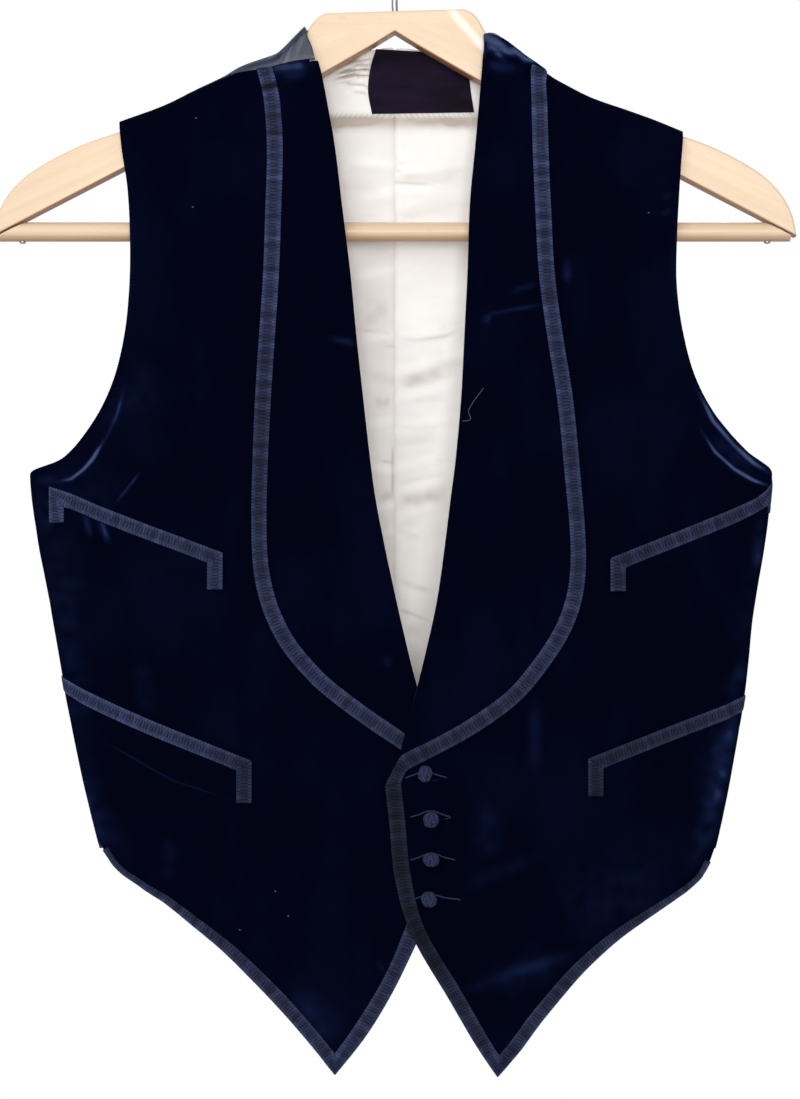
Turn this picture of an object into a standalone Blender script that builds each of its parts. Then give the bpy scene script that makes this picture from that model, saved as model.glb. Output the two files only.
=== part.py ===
"""Braid-trimmed velvet waistcoat on a wooden hanger with a trouser bar.

+Z is up, -Y is the front, and +X is the wearer's left. The origin is the top of the hook's inner curve,
where a rail carries it. All sizes below are millimetres, and meshes are made in metres.

Each cloth piece is an open grid laid on the garment's form by `place`, triangulated, and given its
thickness by Solidify. A place on the cloth is stated as it would be on the flat pattern: x from the centre
line and z up. Past a side fold or over a shoulder the pattern carries on round the form.
"""
from collections import namedtuple
import math

import bmesh
import bpy
from mathutils import Vector

METRE = 0.001

# Cloth
SEAM_GAP = 0.4              # between pieces that are sewn edge to edge, each side of the seam
SEAM_TURN = 1.2             # cloth beside a shoulder seam that lies square to it
PLY_GAP = 0.4               # between one ply and the next that lies on it
VELVET = 2.0                # front panels
COLLAR = 1.2
WELT = 1.2
BRAID = 0.8
SATIN = 1.8                 # back panels
LINING = 1.0
LINING_DEPTH = 2.7          # from the back's outer face to the lining's
PATCH = 0.6
BRAID_WIDTH = 9.5
HEM_BRAID_WIDTH = 6.5
EDGE_BRAID_WIDTH = 7.8      # down the front edges and round the points

# Form
SIDE_FOLD = 4.0             # radius of the fold at each side seam
SHOULDER_ROLL = 9.0         # height over which the cloth turns over a hanger arm
FULLNESS = 2.4              # how flat the middle of a panel is before it falls back to the side
UNDERARM = -315.9           # height of the top of the side seams
OVERLAP_LIFT = 5.2          # how far the left front stands off to lie over the right front
LIFT_NEAR, LIFT_FAR = 30.0, 170.0            # x over which that lift fades
LIFT_TOP, LIFT_FULL_TOP = -250.0, -415.0     # heights over which it comes in
LIFT_FULL_END, LIFT_END = -580.0, -645.0     # and over which it goes

# Buttons: covered knots
BUTTON_RADIUS = 4.2
BUTTON_FLATTEN = 0.85

# Hanger
WOOD = 12.0                 # thickness of the arms
WOOD_EASE = 2.0
BAR_RADIUS = 5.3
BAR_HEIGHT = -179.8
BAR_END = 218.5
SCREW_X = 206.0
SCREW_RADIUS = 1.9
SCREW_HEAD = 1.1
WIRE_RADIUS = 1.8
HOOK_RADIUS = 20.0          # inner radius, so a rail up to 40 mm across fits
HOOK_TIP_ANGLE = 205.0
HOOK_STEM_TOP = -50.0
HEAD_TOP = -59.5

SIDES = {"right": -1, "left": 1}


# ---------------------------------------------------------------------------------------------- tables

# The hollow body at each height: half widths on the wearer's right and left, and the depth of the front
# and of the back from the middle plane. Above the underarm the half widths are where the sides would be.
Level = namedtuple("Level", "height right left front back")
BODY = (
    Level(-645.0, 140.0, 150.0, 21.0, 20.0),
    Level(-600.0, 146.0, 158.0, 22.0, 20.5),
    Level(-531.8, 160.0, 174.7, 23.5, 21.5),
    Level(-516.3, 164.9, 178.8, 24.0, 21.8),
    Level(-477.5, 174.3, 186.6, 25.0, 22.2),
    Level(-433.3, 182.6, 193.8, 25.5, 22.5),
    Level(-389.0, 190.4, 198.7, 25.5, 22.5),
    Level(-344.7, 198.7, 205.9, 25.0, 22.5),
    Level(-315.9, 202.0, 208.7, 24.5, 22.5),
    Level(-290.0, 203.5, 209.5, 23.5, 21.8),
    Level(-240.0, 208.0, 215.0, 20.0, 19.5),
    Level(-180.0, 240.0, 248.0, 16.0, 16.5),
    Level(-120.0, 330.0, 330.0, 12.5, 13.5),
    Level(-60.0, 400.0, 400.0, 12.0, 13.0),
)

# The shoulder from the neck out: the height of its crest, and how far down the front the seam lies.
Shoulder = namedtuple("Shoulder", "out crest seam_drop")
SHOULDERS = {
    "right": (
        Shoulder(43.7, -62.5, 21.7),
        Shoulder(49.1, -65.5, 19.4),
        Shoulder(56.8, -73.2, 12.8),
        Shoulder(64.6, -80.6, 7.2),
        Shoulder(71.0, -83.2, 5.9),
        Shoulder(78.6, -85.8, 4.6),
        Shoulder(86.3, -89.0, 2.4),
        Shoulder(94.1, -93.8, 0.2),
        Shoulder(100.0, -96.8, 0.0),
        Shoulder(109.9, -101.1, 0.0),
        Shoulder(129.8, -110.5, 0.0),
        Shoulder(152.6, -118.8, 0.0),
    ),
    "left": (
        Shoulder(48.7, -67.6, 5.0),
        Shoulder(55.4, -70.3, 4.0),
        Shoulder(60.4, -73.4, 3.2),
        Shoulder(66.2, -77.6, 3.3),
        Shoulder(72.0, -82.0, 3.4),
        Shoulder(77.0, -86.4, 2.0),
        Shoulder(82.9, -91.4, 0.6),
        Shoulder(91.2, -96.7, 0.0),
        Shoulder(108.3, -105.5, 0.0),
        Shoulder(131.0, -113.3, 0.0),
        Shoulder(146.4, -119.1, 0.0),
        Shoulder(159.1, -124.3, 0.0),
    ),
}

# The back's edge at the neck, from the shoulder seam over the crest to its first course.
NeckEdge = namedtuple("NeckEdge", "step x")
NECK_EDGES = {
    "right": (NeckEdge(0.0, 43.7), NeckEdge(0.2, 45.6), NeckEdge(0.4, 48.2), NeckEdge(0.6, 49.6),
              NeckEdge(0.82, 49.0), NeckEdge(1.0, 39.0)),
    "left": (NeckEdge(0.0, 48.7), NeckEdge(0.2, 51.6), NeckEdge(0.45, 55.2), NeckEdge(0.7, 54.5),
             NeckEdge(1.0, 39.0)),
}

# Courses run across a panel from its outer edge, at armhole or side seam, to its inner edge. x is outwards
# from the centre line on the panel's own side, so an inner edge past the centre is negative. An outer x of
# None is at the side seam. The hem and the courses above it rise in the middle by `bow`.
Course = namedtuple("Course", "outer_x outer_z inner_x inner_z bow")
FRONT = {
    "right": (
        Course(150.0, -135.9, 38.1, -103.0, 0.0),
        Course(146.7, -157.9, 34.5, -125.6, 0.0),
        Course(145.3, -187.0, 29.5, -164.0, 0.0),
        Course(145.8, -213.0, 24.9, -200.0, 0.0),
        Course(148.6, -239.0, 20.8, -240.0, 0.0),
        Course(155.0, -264.0, 17.3, -274.2, 0.0),
        Course(165.5, -285.0, 13.5, -305.0, 0.0),
        Course(182.0, -304.5, 10.3, -330.0, 0.0),
        Course(None, -315.9, 5.0, -356.0, 0.0),
        Course(None, -344.7, -0.6, -382.0, 0.0),
        Course(None, -377.0, -7.5, -412.0, 0.0),
        Course(None, -407.0, -12.6, -431.8, 0.0),
        Course(None, -438.0, -22.3, -469.8, 1.0),
        Course(None, -456.0, -26.7, -492.0, 2.0),
        Course(None, -472.0, -26.0, -525.0, 3.5),
        Course(None, -486.0, -19.5, -551.0, 5.5),
        Course(None, -497.5, -2.3, -589.7, 8.0),
        Course(None, -505.5, 14.0, -617.5, 10.5),
        Course(None, -511.5, 28.4, -636.2, 12.0),
        Course(None, -525.1, 32.6, -641.2, 12.5),
    ),
    "left": (
        Course(157.3, -141.0, 46.6, -103.0, 0.0),
        Course(156.0, -160.0, 44.8, -125.6, 0.0),
        Course(154.6, -187.0, 41.1, -164.4, 0.0),
        Course(154.6, -211.0, 39.8, -200.0, 0.0),
        Course(158.0, -236.0, 37.8, -240.0, 0.0),
        Course(165.0, -261.0, 36.0, -274.2, 0.0),
        Course(176.5, -282.0, 33.3, -303.0, 0.0),
        Course(193.2, -300.6, 30.0, -330.0, 0.0),
        Course(None, -315.9, 27.3, -356.0, 0.0),
        Course(None, -344.7, 23.6, -381.0, 0.0),
        Course(None, -374.0, 18.5, -409.0, 0.0),
        Course(None, -405.0, 12.5, -431.5, 0.0),
        Course(None, -435.0, 1.7, -469.3, 1.0),
        Course(None, -452.0, -5.3, -483.4, 2.0),
        Course(None, -466.0, -3.1, -503.4, 3.0),
        Course(None, -480.0, 0.1, -534.3, 5.0),
        Course(None, -492.0, 8.8, -563.7, 7.0),
        Course(None, -503.0, 29.4, -599.5, 9.5),
        Course(None, -512.0, 44.0, -624.5, 11.5),
        Course(None, -519.5, 52.2, -637.0, 12.0),
        Course(None, -531.8, 55.9, -642.5, 12.5),
    ),
}

# The shawl collar, from its outer edge to the edge of the neck opening.
COLLARS = {
    "right": (
        Course(75.8, -92.4, 42.0, -87.5, 0.0),
        Course(73.6, -100.5, 39.8, -96.0, 0.0),
        Course(71.6, -111.0, 37.5, -108.0, 0.0),
        Course(70.0, -136.9, 32.9, -134.0, 0.0),
        Course(70.8, -170.0, 28.5, -170.0, 0.0),
        Course(71.9, -205.8, 24.3, -204.0, 0.0),
        Course(74.0, -240.0, 20.8, -240.0, 0.0),
        Course(76.0, -274.2, 17.3, -272.0, 0.0),
        Course(77.5, -317.8, 14.0, -301.0, 0.0),
        Course(77.8, -343.0, 11.5, -321.0, 0.0),
        Course(77.0, -363.0, 9.0, -336.0, 0.0),
        Course(74.3, -379.0, 6.8, -347.0, 0.0),
        Course(69.4, -393.8, 4.6, -358.0, 0.0),
        Course(60.7, -410.0, 2.0, -370.0, 0.0),
        Course(46.0, -427.3, -1.5, -386.0, 0.0),
        Course(34.7, -437.2, -4.5, -399.0, 0.0),
        Course(17.0, -450.4, -9.0, -418.0, 0.0),
        Course(-1.2, -462.7, -14.0, -437.0, 0.0),
        Course(-14.5, -471.5, -19.8, -460.0, 0.0),
    ),
    "left": (
        Course(82.4, -94.0, 48.8, -79.0, 0.0),
        Course(82.6, -98.0, 48.2, -85.0, 0.0),
        Course(82.9, -103.0, 47.6, -93.0, 0.0),
        Course(83.4, -111.0, 46.5, -106.0, 0.0),
        Course(84.1, -136.9, 44.0, -134.0, 0.0),
        Course(85.3, -168.0, 41.0, -166.0, 0.0),
        Course(87.3, -205.8, 39.6, -204.0, 0.0),
        Course(91.4, -238.0, 37.9, -238.0, 0.0),
        Course(96.9, -274.2, 36.0, -273.0, 0.0),
        Course(100.8, -317.8, 32.8, -308.0, 0.0),
        Course(103.0, -345.0, 30.3, -327.0, 0.0),
        Course(103.4, -366.0, 28.2, -344.0, 0.0),
        Course(100.9, -384.0, 26.3, -359.0, 0.0),
        Course(94.5, -401.0, 24.5, -372.0, 0.0),
        Course(84.1, -417.4, 22.2, -386.0, 0.0),
        Course(67.8, -437.0, 19.0, -401.0, 0.0),
        Course(46.1, -453.1, 14.3, -421.0, 0.0),
        Course(25.5, -464.8, 7.5, -447.0, 0.0),
        Course(9.5, -473.2, 3.3, -464.0, 0.0),
    ),
}

# Below the left collar its braid turns down the front edge, to a butt joint with the edge braid at the
# front's next course.
BREAK_TURN = ((6.3, -475.4), (1.7, -469.3))
EDGE_BRAID_TOP = {"right": -551.0, "left": -483.4}

# The back, from armhole or side seam to the back neckline and then the centre seam.
BACK = (
    Course(147.0, -137.0, 41.0, -72.6, 0.0),
    Course(145.3, -147.0, 30.0, -75.8, 0.0),
    Course(144.0, -158.0, 15.0, -77.2, 0.0),
    Course(143.0, -172.0, SEAM_GAP, -77.4, 0.0),
    Course(142.0, -196.0, SEAM_GAP, -118.0, 0.0),
    Course(143.0, -224.0, SEAM_GAP, -165.0, 0.0),
    Course(150.0, -256.0, SEAM_GAP, -215.0, 0.0),
    Course(162.5, -283.0, SEAM_GAP, -262.0, 0.0),
    Course(181.0, -305.5, SEAM_GAP, -298.0, 0.0),
    Course(None, -315.9, SEAM_GAP, -326.0, 0.0),
    Course(None, -352.0, SEAM_GAP, -360.0, 0.0),
    Course(None, -389.0, SEAM_GAP, -394.0, 0.0),
    Course(None, -433.0, SEAM_GAP, -436.0, 0.0),
    Course(None, -477.5, SEAM_GAP, -478.0, 0.0),
    Course(None, -521.0, SEAM_GAP, -524.0, 0.0),
)
LINING_MARGIN = 7.0         # how far the lining stops inside the back's outer edge
LINING_HEM = 4.0            # above its hem
LINING_DROP = 0.6           # and below its neckline

# Pocket welts: the line of each one's top edge, from the side in, and its height.
Welt = namedtuple("Welt", "height side_leg top")
WELTS = {
    "upper_right": Welt(20.0, True, ((191.4, -323.2), (178.5, -331.2), (138.0, -345.2), (93.4, -357.2))),
    "lower_right": Welt(23.0, False, ((178.2, -429.2), (159.0, -438.2), (135.6, -449.6), (77.6, -470.2))),
    "upper_left": Welt(20.0, True, ((204.2, -325.0), (187.5, -332.0), (150.0, -345.8), (116.5, -356.4))),
    "lower_left": Welt(20.5, False, ((189.6, -437.6), (147.2, -453.0), (104.6, -469.0))),
}

# Buttons, at x outwards on the wearer's left and their height.
BUTTONS = ((16.3, -476.4), (19.5, -501.2), (19.5, -522.7), (18.4, -544.3))

# The patch inside the back neck.
PATCH_EDGES = ((-13.0, -78.6), (40.5, -78.6), (43.0, -112.2), (-14.0, -112.2))

# One half of the hanger's outline, top edge from the head out and lower edge back to the centre.
ARM_TOP = ((38.0, -59.5), (42.8, -61.9), (46.3, -66.0), (50.0, -72.5), (56.5, -80.0), (66.0, -88.0),
           (78.0, -95.0), (92.0, -102.0), (110.0, -110.8), (131.0, -118.6), (152.2, -126.2),
           (175.4, -134.6), (199.4, -147.6), (211.5, -158.6), (218.5, -170.6), (221.5, -183.4))
ARM_UNDER = ((150.0, -146.5), (98.0, -122.5), (46.0, -97.0), (12.0, -77.4), (0.0, -70.0))


# ------------------------------------------------------------------------------------------ the form

def follow(table, at, column):
    """Read a column of a table on a smooth curve through its rows, by the table's first column."""
    rows = sorted(table)
    where = [row[0] for row in rows]
    value = [row[rows[0]._fields.index(column)] for row in rows]
    if at <= where[0]:
        return value[0]
    if at >= where[-1]:
        return value[-1]
    after = next(i for i in range(1, len(rows)) if where[i] >= at)
    before = after - 1

    def slope(i):
        low, high = max(i - 1, 0), min(i + 1, len(rows) - 1)
        return (value[high] - value[low]) / (where[high] - where[low])

    step = where[after] - where[before]
    t = (at - where[before]) / step
    return ((1 + 2 * t) * (1 - t) ** 2 * value[before] + t ** 2 * (3 - 2 * t) * value[after]
            + step * (t * (1 - t) ** 2 * slope(before) - t ** 2 * (1 - t) * slope(after)))


def ease(value, start, end):
    """0 before start, 1 after end, and a smooth step between."""
    t = min(max((value - start) / (end - start), 0.0), 1.0)
    return t * t * (3 - 2 * t)


def seam_x(side, height):
    """Pattern x of the side seam: the cloth's own length round the side fold."""
    return follow(BODY, height, side) + SIDE_FOLD * (math.pi / 2 - 1)


def roll_start(side, x):
    """Height at which the cloth starts to turn over the shoulder."""
    return follow(SHOULDERS[side], x, "crest") - SHOULDER_ROLL


def over_front(side, x):
    """Pattern height of the shoulder seam, seen from the front."""
    start = roll_start(side, x)
    drop = max(follow(SHOULDERS[side], x, "seam_drop"), 0.0)
    if drop >= SHOULDER_ROLL:
        return start + SHOULDER_ROLL - drop
    return start + SHOULDER_ROLL * math.asin(1 - drop / SHOULDER_ROLL)


def over_back(side, x):
    """Pattern height of the same seam, come to from the back over the crest."""
    apex = roll_start(side, x) + SHOULDER_ROLL * math.pi / 2
    return 2 * apex - over_front(side, x)


def lift(side, x, z):
    """How far the left front stands off the form, to lie over the right one."""
    if side == "right":
        return 0.0
    across = 1 - ease(x, LIFT_NEAR, LIFT_FAR)
    down = ease(-z, -LIFT_TOP, -LIFT_FULL_TOP) * (1 - ease(-z, -LIFT_FULL_END, -LIFT_END))
    return OVERLAP_LIFT * across * down


def form(side, face, x, z):
    """The place on the garment's outer face for a pattern place x, z, in millimetres."""
    turn = 1.0
    start = roll_start(side, abs(x))
    height = z
    if z > start:
        angle = min((z - start) / SHOULDER_ROLL, math.pi)
        turn = math.cos(angle)
        past = max(z - start - SHOULDER_ROLL * math.pi, 0.0)
        height = start + SHOULDER_ROLL * math.sin(angle) - past
    half = follow(BODY, height, side)
    near, far = ("front", "back") if face == "front" else ("back", "front")
    full = follow(BODY, height, near) * (1 + turn) / 2 + follow(BODY, height, far) * (1 - turn) / 2
    flat = half - SIDE_FOLD
    share = min(abs(x), flat) / half
    depth = SIDE_FOLD + (full - SIDE_FOLD) * (1 - share ** FULLNESS)
    if x > flat:
        angle = (x - flat) / SIDE_FOLD
        depth *= math.cos(angle)
        x = flat + SIDE_FOLD * math.sin(angle)
    if face == "front":
        depth += lift(side, x, height)
    outward = -1 if face == "front" else 1
    return Vector((SIDES[side] * x, outward * turn * depth, height))


def place(side, face, x, z, out=0.0):
    """A pattern place moved out from the form along its normal."""
    probe = 0.2
    across = form(side, face, x + probe, z) - form(side, face, x - probe, z)
    up = form(side, face, x, z + probe) - form(side, face, x, z - probe)
    normal = across.cross(up).normalized()
    if (SIDES[side] > 0) == (face == "back"):
        normal.negate()
    return form(side, face, x, z) + normal * out


# --------------------------------------------------------------------------------------- making pieces

def finish(name, colour, roughness, metallic=0.0, sheen=0.0):
    """A plain surface."""
    material = bpy.data.materials.new(name)
    material.use_nodes = True
    surface = material.node_tree.nodes["Principled BSDF"]
    surface.inputs["Base Color"].default_value = (*colour, 1.0)
    surface.inputs["Roughness"].default_value = roughness
    surface.inputs["Metallic"].default_value = metallic
    surface.inputs["Sheen Weight"].default_value = sheen
    return material


def finishes():
    """The materials of the cloth, the trim and the hanger."""
    return {
        "velvet": finish("velvet", (0.004, 0.006, 0.022), 0.9, sheen=0.6),
        "braid": finish("braid", (0.040, 0.045, 0.085), 0.6),
        "satin": finish("satin", (0.060, 0.070, 0.100), 0.35),
        "lining": finish("lining", (0.80, 0.77, 0.72), 0.5),
        "patch": finish("patch", (0.020, 0.014, 0.030), 0.6),
        "button": finish("button", (0.045, 0.050, 0.085), 0.6),
        "wood": finish("wood", (0.85, 0.62, 0.38), 0.45),
        "steel": finish("steel", (0.60, 0.60, 0.62), 0.25, metallic=1.0),
    }


def add_piece(name, mesh, material, collection):
    piece = bpy.data.objects.new(name, mesh)
    piece.data.materials.append(material)
    collection.objects.link(piece)
    return piece


def add_cloth(name, rows, thickness, material, collection, keep=None):
    """A cloth piece from rows of places: a grid, cut down to the cells in keep, given its thickness."""
    mesh = bpy.data.meshes.new(name)
    cloth = bmesh.new()
    across, down = len(rows[0]), len(rows)
    bmesh.ops.create_grid(cloth, x_segments=across - 1, y_segments=down - 1, size=1.0)
    cloth.verts.ensure_lookup_table()
    for index, vertex in enumerate(cloth.verts):
        vertex.co = rows[index // across][index % across] * METRE
    if keep:
        cloth.faces.ensure_lookup_table()
        spare = [face for face in cloth.faces if not keep(*divmod(face.index, across - 1))]
        bmesh.ops.delete(cloth, geom=spare, context="FACES")
    bmesh.ops.triangulate(cloth, faces=cloth.faces[:], quad_method="FIXED")
    outside = sum((face.normal * face.calc_area() for face in cloth.faces), Vector())
    if outside.y * sum(vertex.co.y for vertex in cloth.verts) < 0:
        bmesh.ops.reverse_faces(cloth, faces=cloth.faces[:])
    cloth.to_mesh(mesh)
    cloth.free()
    piece = add_piece(name, mesh, material, collection)
    wall = piece.modifiers.new("Thickness", "SOLIDIFY")
    wall.thickness = thickness * METRE
    wall.offset = -1.0
    return piece


def course_ends(side, course):
    """Both ends of a course, the outer one at the side seam where the table leaves it open."""
    outer_x = course.outer_x
    if outer_x is None:
        outer_x = seam_x(side, course.outer_z) - SEAM_GAP
    return Vector((outer_x, course.outer_z)), Vector((course.inner_x, course.inner_z))


def on_course(side, course, share):
    """The pattern place at a share of the way from a course's outer end to its inner end."""
    outer, inner = course_ends(side, course)
    x, z = outer.lerp(inner, share)
    return x, z + 4 * share * (1 - share) * course.bow


def panel_shares(length, spans, trim_width):
    """Shares of a course at which a panel has its columns: round the side fold, across, and at the trim."""
    fold = SIDE_FOLD * math.pi / 2
    stops = [0.0, fold * 0.12, fold * 0.56, fold]
    inner = length - trim_width
    stops += [fold + (inner - fold) * (i + 1) / spans for i in range(spans)]
    if trim_width:
        stops.append(length)
    return [stop / length for stop in stops]


def panel(side, courses, seam, shoulder_steps, spans, trims, neck_edge=None):
    """Pattern places of a whole panel, from its shoulder seam down to its hem, row by row."""
    rows = []
    for course, trim in zip(courses, trims):
        outer, inner = course_ends(side, course)
        shares = panel_shares((inner - outer).length, spans, trim)
        rows.append([on_course(side, course, share) for share in shares])
    tip, neck = SHOULDERS[side][-1].out, SHOULDERS[side][0].out
    shares = panel_shares(tip - neck, spans, trims[0])
    top = []
    for share in shares:
        x = tip + (neck - tip) * share
        top.append(Vector((x, seam(side, x))))
    low = [Vector(place) for place in rows[0]]
    between = []
    for distance in (SEAM_GAP, SEAM_TURN):
        between.append([start + (end - start).normalized() * distance for start, end in zip(top, low)])
    for step in shoulder_steps:
        between.append([start.lerp(end, step) for start, end in zip(top, low)])
        if neck_edge:
            lean = follow(neck_edge, step, "x") - between[-1][-1].x
            for place, share in zip(between[-1], shares):
                place.x += lean * share ** 4
    return between + rows


def laid(side, face, pattern, out):
    """Pattern places laid on the form, moved out by the plies below."""
    return [[place(side, face, x, z, out) for x, z in row] for row in pattern]


# ---------------------------------------------------------------------------------------- the waistcoat

PANEL_SPANS = 6
FRONT_SHOULDER_STEPS = (0.2, 0.42, 0.7)
BACK_SHOULDER_STEPS = (0.22, 0.36, 0.5, 0.64, 0.78, 0.9)


def front_pattern(side):
    """The front panel's places, with a column at the edge braid's width and a row at the hem braid's."""
    trims = []
    for course in FRONT[side]:
        trims.append(BRAID_WIDTH if course.inner_z > -560 else EDGE_BRAID_WIDTH)
    return panel(side, FRONT[side], over_front, FRONT_SHOULDER_STEPS, PANEL_SPANS, trims)


def add_fronts(materials, collection):
    """Velvet fronts, and the braid along each front edge, round the point and along the hem."""
    for side in SIDES:
        pattern = front_pattern(side)
        add_cloth(f"front_{side}", laid(side, "front", pattern, 0.0), VELVET, materials["velvet"],
                  collection)
        table_start = len(pattern) - len(FRONT[side])
        first = table_start + [course.inner_z for course in FRONT[side]].index(EDGE_BRAID_TOP[side])
        last_row, last_column = len(pattern) - 2, len(pattern[0]) - 2

        def trimmed(row, column):
            return row == last_row or (column == last_column and row >= first)

        add_cloth(f"braid_edge_{side}", laid(side, "front", pattern, PLY_GAP + BRAID), BRAID,
                  materials["braid"], collection, keep=trimmed)


def add_collars(materials, collection):
    """The shawl collar on each front, with braid round its outer edge."""
    for side in SIDES:
        pattern, edge = [], []
        for course in COLLARS[side]:
            outer, inner = course_ends(side, course)
            braid = min(BRAID_WIDTH / (inner - outer).length, 0.8)
            shares = (0.0, braid, (1 + 2 * braid) / 3, (2 + braid) / 3, 1.0)
            pattern.append([on_course(side, course, share) for share in shares])
            edge.append(pattern[-1][:2])
        on_front = PLY_GAP + COLLAR
        add_cloth(f"collar_{side}", laid(side, "front", pattern, on_front), COLLAR,
                  materials["velvet"], collection)
        on_collar = on_front + PLY_GAP + BRAID
        rows = laid(side, "front", edge, on_collar)
        if side == "left":
            rows.append([place(side, "front", x, z, on_collar) for x, z in BREAK_TURN])
            joint = next(course for course in FRONT[side] if course.inner_z == EDGE_BRAID_TOP[side])
            outer, inner = course_ends(side, joint)
            shares = (1 - BRAID_WIDTH / (inner - outer).length, 1.0)
            ends = [on_course(side, joint, share) for share in shares]
            rows.append([place(side, "front", x, z + 2 * SEAM_GAP, PLY_GAP + BRAID) for x, z in ends])
        add_cloth(f"braid_collar_{side}", rows, BRAID, materials["braid"], collection)


def along(points, distance):
    """The point at a distance along a polyline, and the direction there."""
    for start, end in zip(points, points[1:]):
        span = (Vector(end) - Vector(start)).length
        if distance <= span or end == points[-1]:
            direction = (Vector(end) - Vector(start)) / span
            return Vector(start) + direction * distance, direction
        distance -= span


def short_of_fold(side, point):
    """A pattern place kept on the front's face, clear of the fold at its side."""
    x, z = point
    return min(x, follow(BODY, z, side) - SIDE_FOLD - 0.8), z


def welt_braid(welt, stops):
    """Pattern places of the braid on a welt: along the top, down its front end, and down the side end."""
    down = Vector((0.0, -1.0))
    rows = []
    first, last = Vector(welt.top[0]), Vector(welt.top[-1])
    inward = Vector((-BRAID_WIDTH, 0.0))
    if welt.side_leg:
        foot = first + down * welt.height
        rows.append((foot, foot + inward))
        rows.append((first, first + inward + down * (BRAID_WIDTH + 4.0)))
    else:
        rows.append((first, first + down * BRAID_WIDTH))
    for point in stops[1:-1]:
        rows.append((point, point + down * BRAID_WIDTH))
    rows.append((last, last - inward + down * (BRAID_WIDTH - 4.0)))
    foot = last + down * welt.height
    rows.append((foot, foot - inward))
    return rows


def add_pockets(materials, collection):
    """A velvet welt at each pocket, with braid along its top and down its ends."""
    for name, welt in WELTS.items():
        side = name.split("_")[1]
        length = sum((Vector(b) - Vector(a)).length for a, b in zip(welt.top, welt.top[1:]))
        count = 7
        stops = [along(welt.top, length * i / count)[0] for i in range(count + 1)]
        foot = Vector((0.0, -welt.height))
        rows = [[short_of_fold(side, stop + foot * share) for share in (0.0, 0.5, 1.0)]
                for stop in stops]
        on_front = PLY_GAP + WELT
        add_cloth(f"welt_{name}", laid(side, "front", rows, on_front), WELT, materials["velvet"],
                  collection)
        braid = [[short_of_fold(side, point) for point in row] for row in welt_braid(welt, stops)]
        add_cloth(f"braid_welt_{name}", laid(side, "front", braid, on_front + PLY_GAP + BRAID), BRAID,
                  materials["braid"], collection)


def add_back(materials, collection):
    """Satin backs that come over the shoulders to the fronts, and the lining inside them."""
    trims = [BRAID_WIDTH] * len(BACK)
    for side in SIDES:
        pattern = panel(side, BACK, over_back, BACK_SHOULDER_STEPS, PANEL_SPANS, trims, NECK_EDGES[side])
        add_cloth(f"back_{side}", laid(side, "back", pattern, 0.0), SATIN, materials["satin"],
                  collection)
        inside = []
        for course in BACK:
            outer, inner = course_ends(side, course)
            margin = LINING_MARGIN / (inner - outer).length
            shares = [margin + (1 - margin) * i / 5 for i in range(6)]
            inside.append([on_course(side, course, share) for share in shares])
        inside[0] = [(x, z - LINING_DROP) for x, z in inside[0]]
        inside[-1] = [(x, z + LINING_HEM) for x, z in inside[-1]]
        add_cloth(f"lining_back_{side}", laid(side, "back", inside, -LINING_DEPTH), LINING,
                  materials["lining"], collection)


def add_neck_patch(materials, collection):
    """The dark patch on the lining, below the back neckline."""
    inside = -(LINING_DEPTH + LINING + PLY_GAP)
    top_left, top_right, low_right, low_left = (Vector(corner) for corner in PATCH_EDGES)
    rows = []
    for share in (0.0, 0.5, 1.0):
        start, end = top_left.lerp(low_left, share), top_right.lerp(low_right, share)
        row = []
        for i in range(5):
            x, z = start.lerp(end, i / 4)
            side = "left" if x >= 0 else "right"
            row.append(place(side, "back", abs(x), z, inside))
        rows.append(row)
    add_cloth("neck_patch", rows, PATCH, materials["patch"], collection)


def add_buttons(materials, collection):
    """Covered knot buttons, seated on the left front over their buttonholes."""
    mesh = bpy.data.meshes.new("button")
    knot = bmesh.new()
    bmesh.ops.create_uvsphere(knot, u_segments=10, v_segments=6, radius=BUTTON_RADIUS * METRE)
    bmesh.ops.scale(knot, vec=Vector((1.0, BUTTON_FLATTEN, 1.0)), verts=knot.verts)
    knot.to_mesh(mesh)
    knot.free()
    mesh.shade_smooth()
    mesh.materials.append(materials["button"])
    for number, (x, z) in enumerate(BUTTONS, start=1):
        button = bpy.data.objects.new(f"button_{number}", mesh)
        seat = BUTTON_RADIUS * BUTTON_FLATTEN + PLY_GAP
        button.location = place("left", "front", x, z, seat) * METRE
        collection.objects.link(button)


# ------------------------------------------------------------------------------------------- the hanger

def add_hanger_body(materials, collection):
    """Head and arms in one, cut from board, with eased edges."""
    half = list(ARM_TOP) + list(ARM_UNDER)
    outline = half + [(-x, z) for x, z in reversed(half[:-1])]
    mesh = bpy.data.meshes.new("hanger_body")
    board = bmesh.new()
    corners = [board.verts.new(Vector((x, -WOOD / 2, z)) * METRE) for x, z in outline]
    sawn = board.faces.new(corners)
    thick = bmesh.ops.extrude_face_region(board, geom=[sawn])
    moved = [item for item in thick["geom"] if isinstance(item, bmesh.types.BMVert)]
    bmesh.ops.translate(board, verts=moved, vec=Vector((0.0, WOOD * METRE, 0.0)))
    bmesh.ops.recalc_face_normals(board, faces=board.faces[:])
    rims = [edge for edge in board.edges if abs(edge.verts[0].co.y - edge.verts[1].co.y) < 1e-6]
    bmesh.ops.bevel(board, geom=rims, offset=WOOD_EASE * METRE, segments=2, profile=0.5, affect="EDGES")
    board.to_mesh(mesh)
    board.free()
    add_piece("hanger_body", mesh, materials["wood"], collection)


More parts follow.
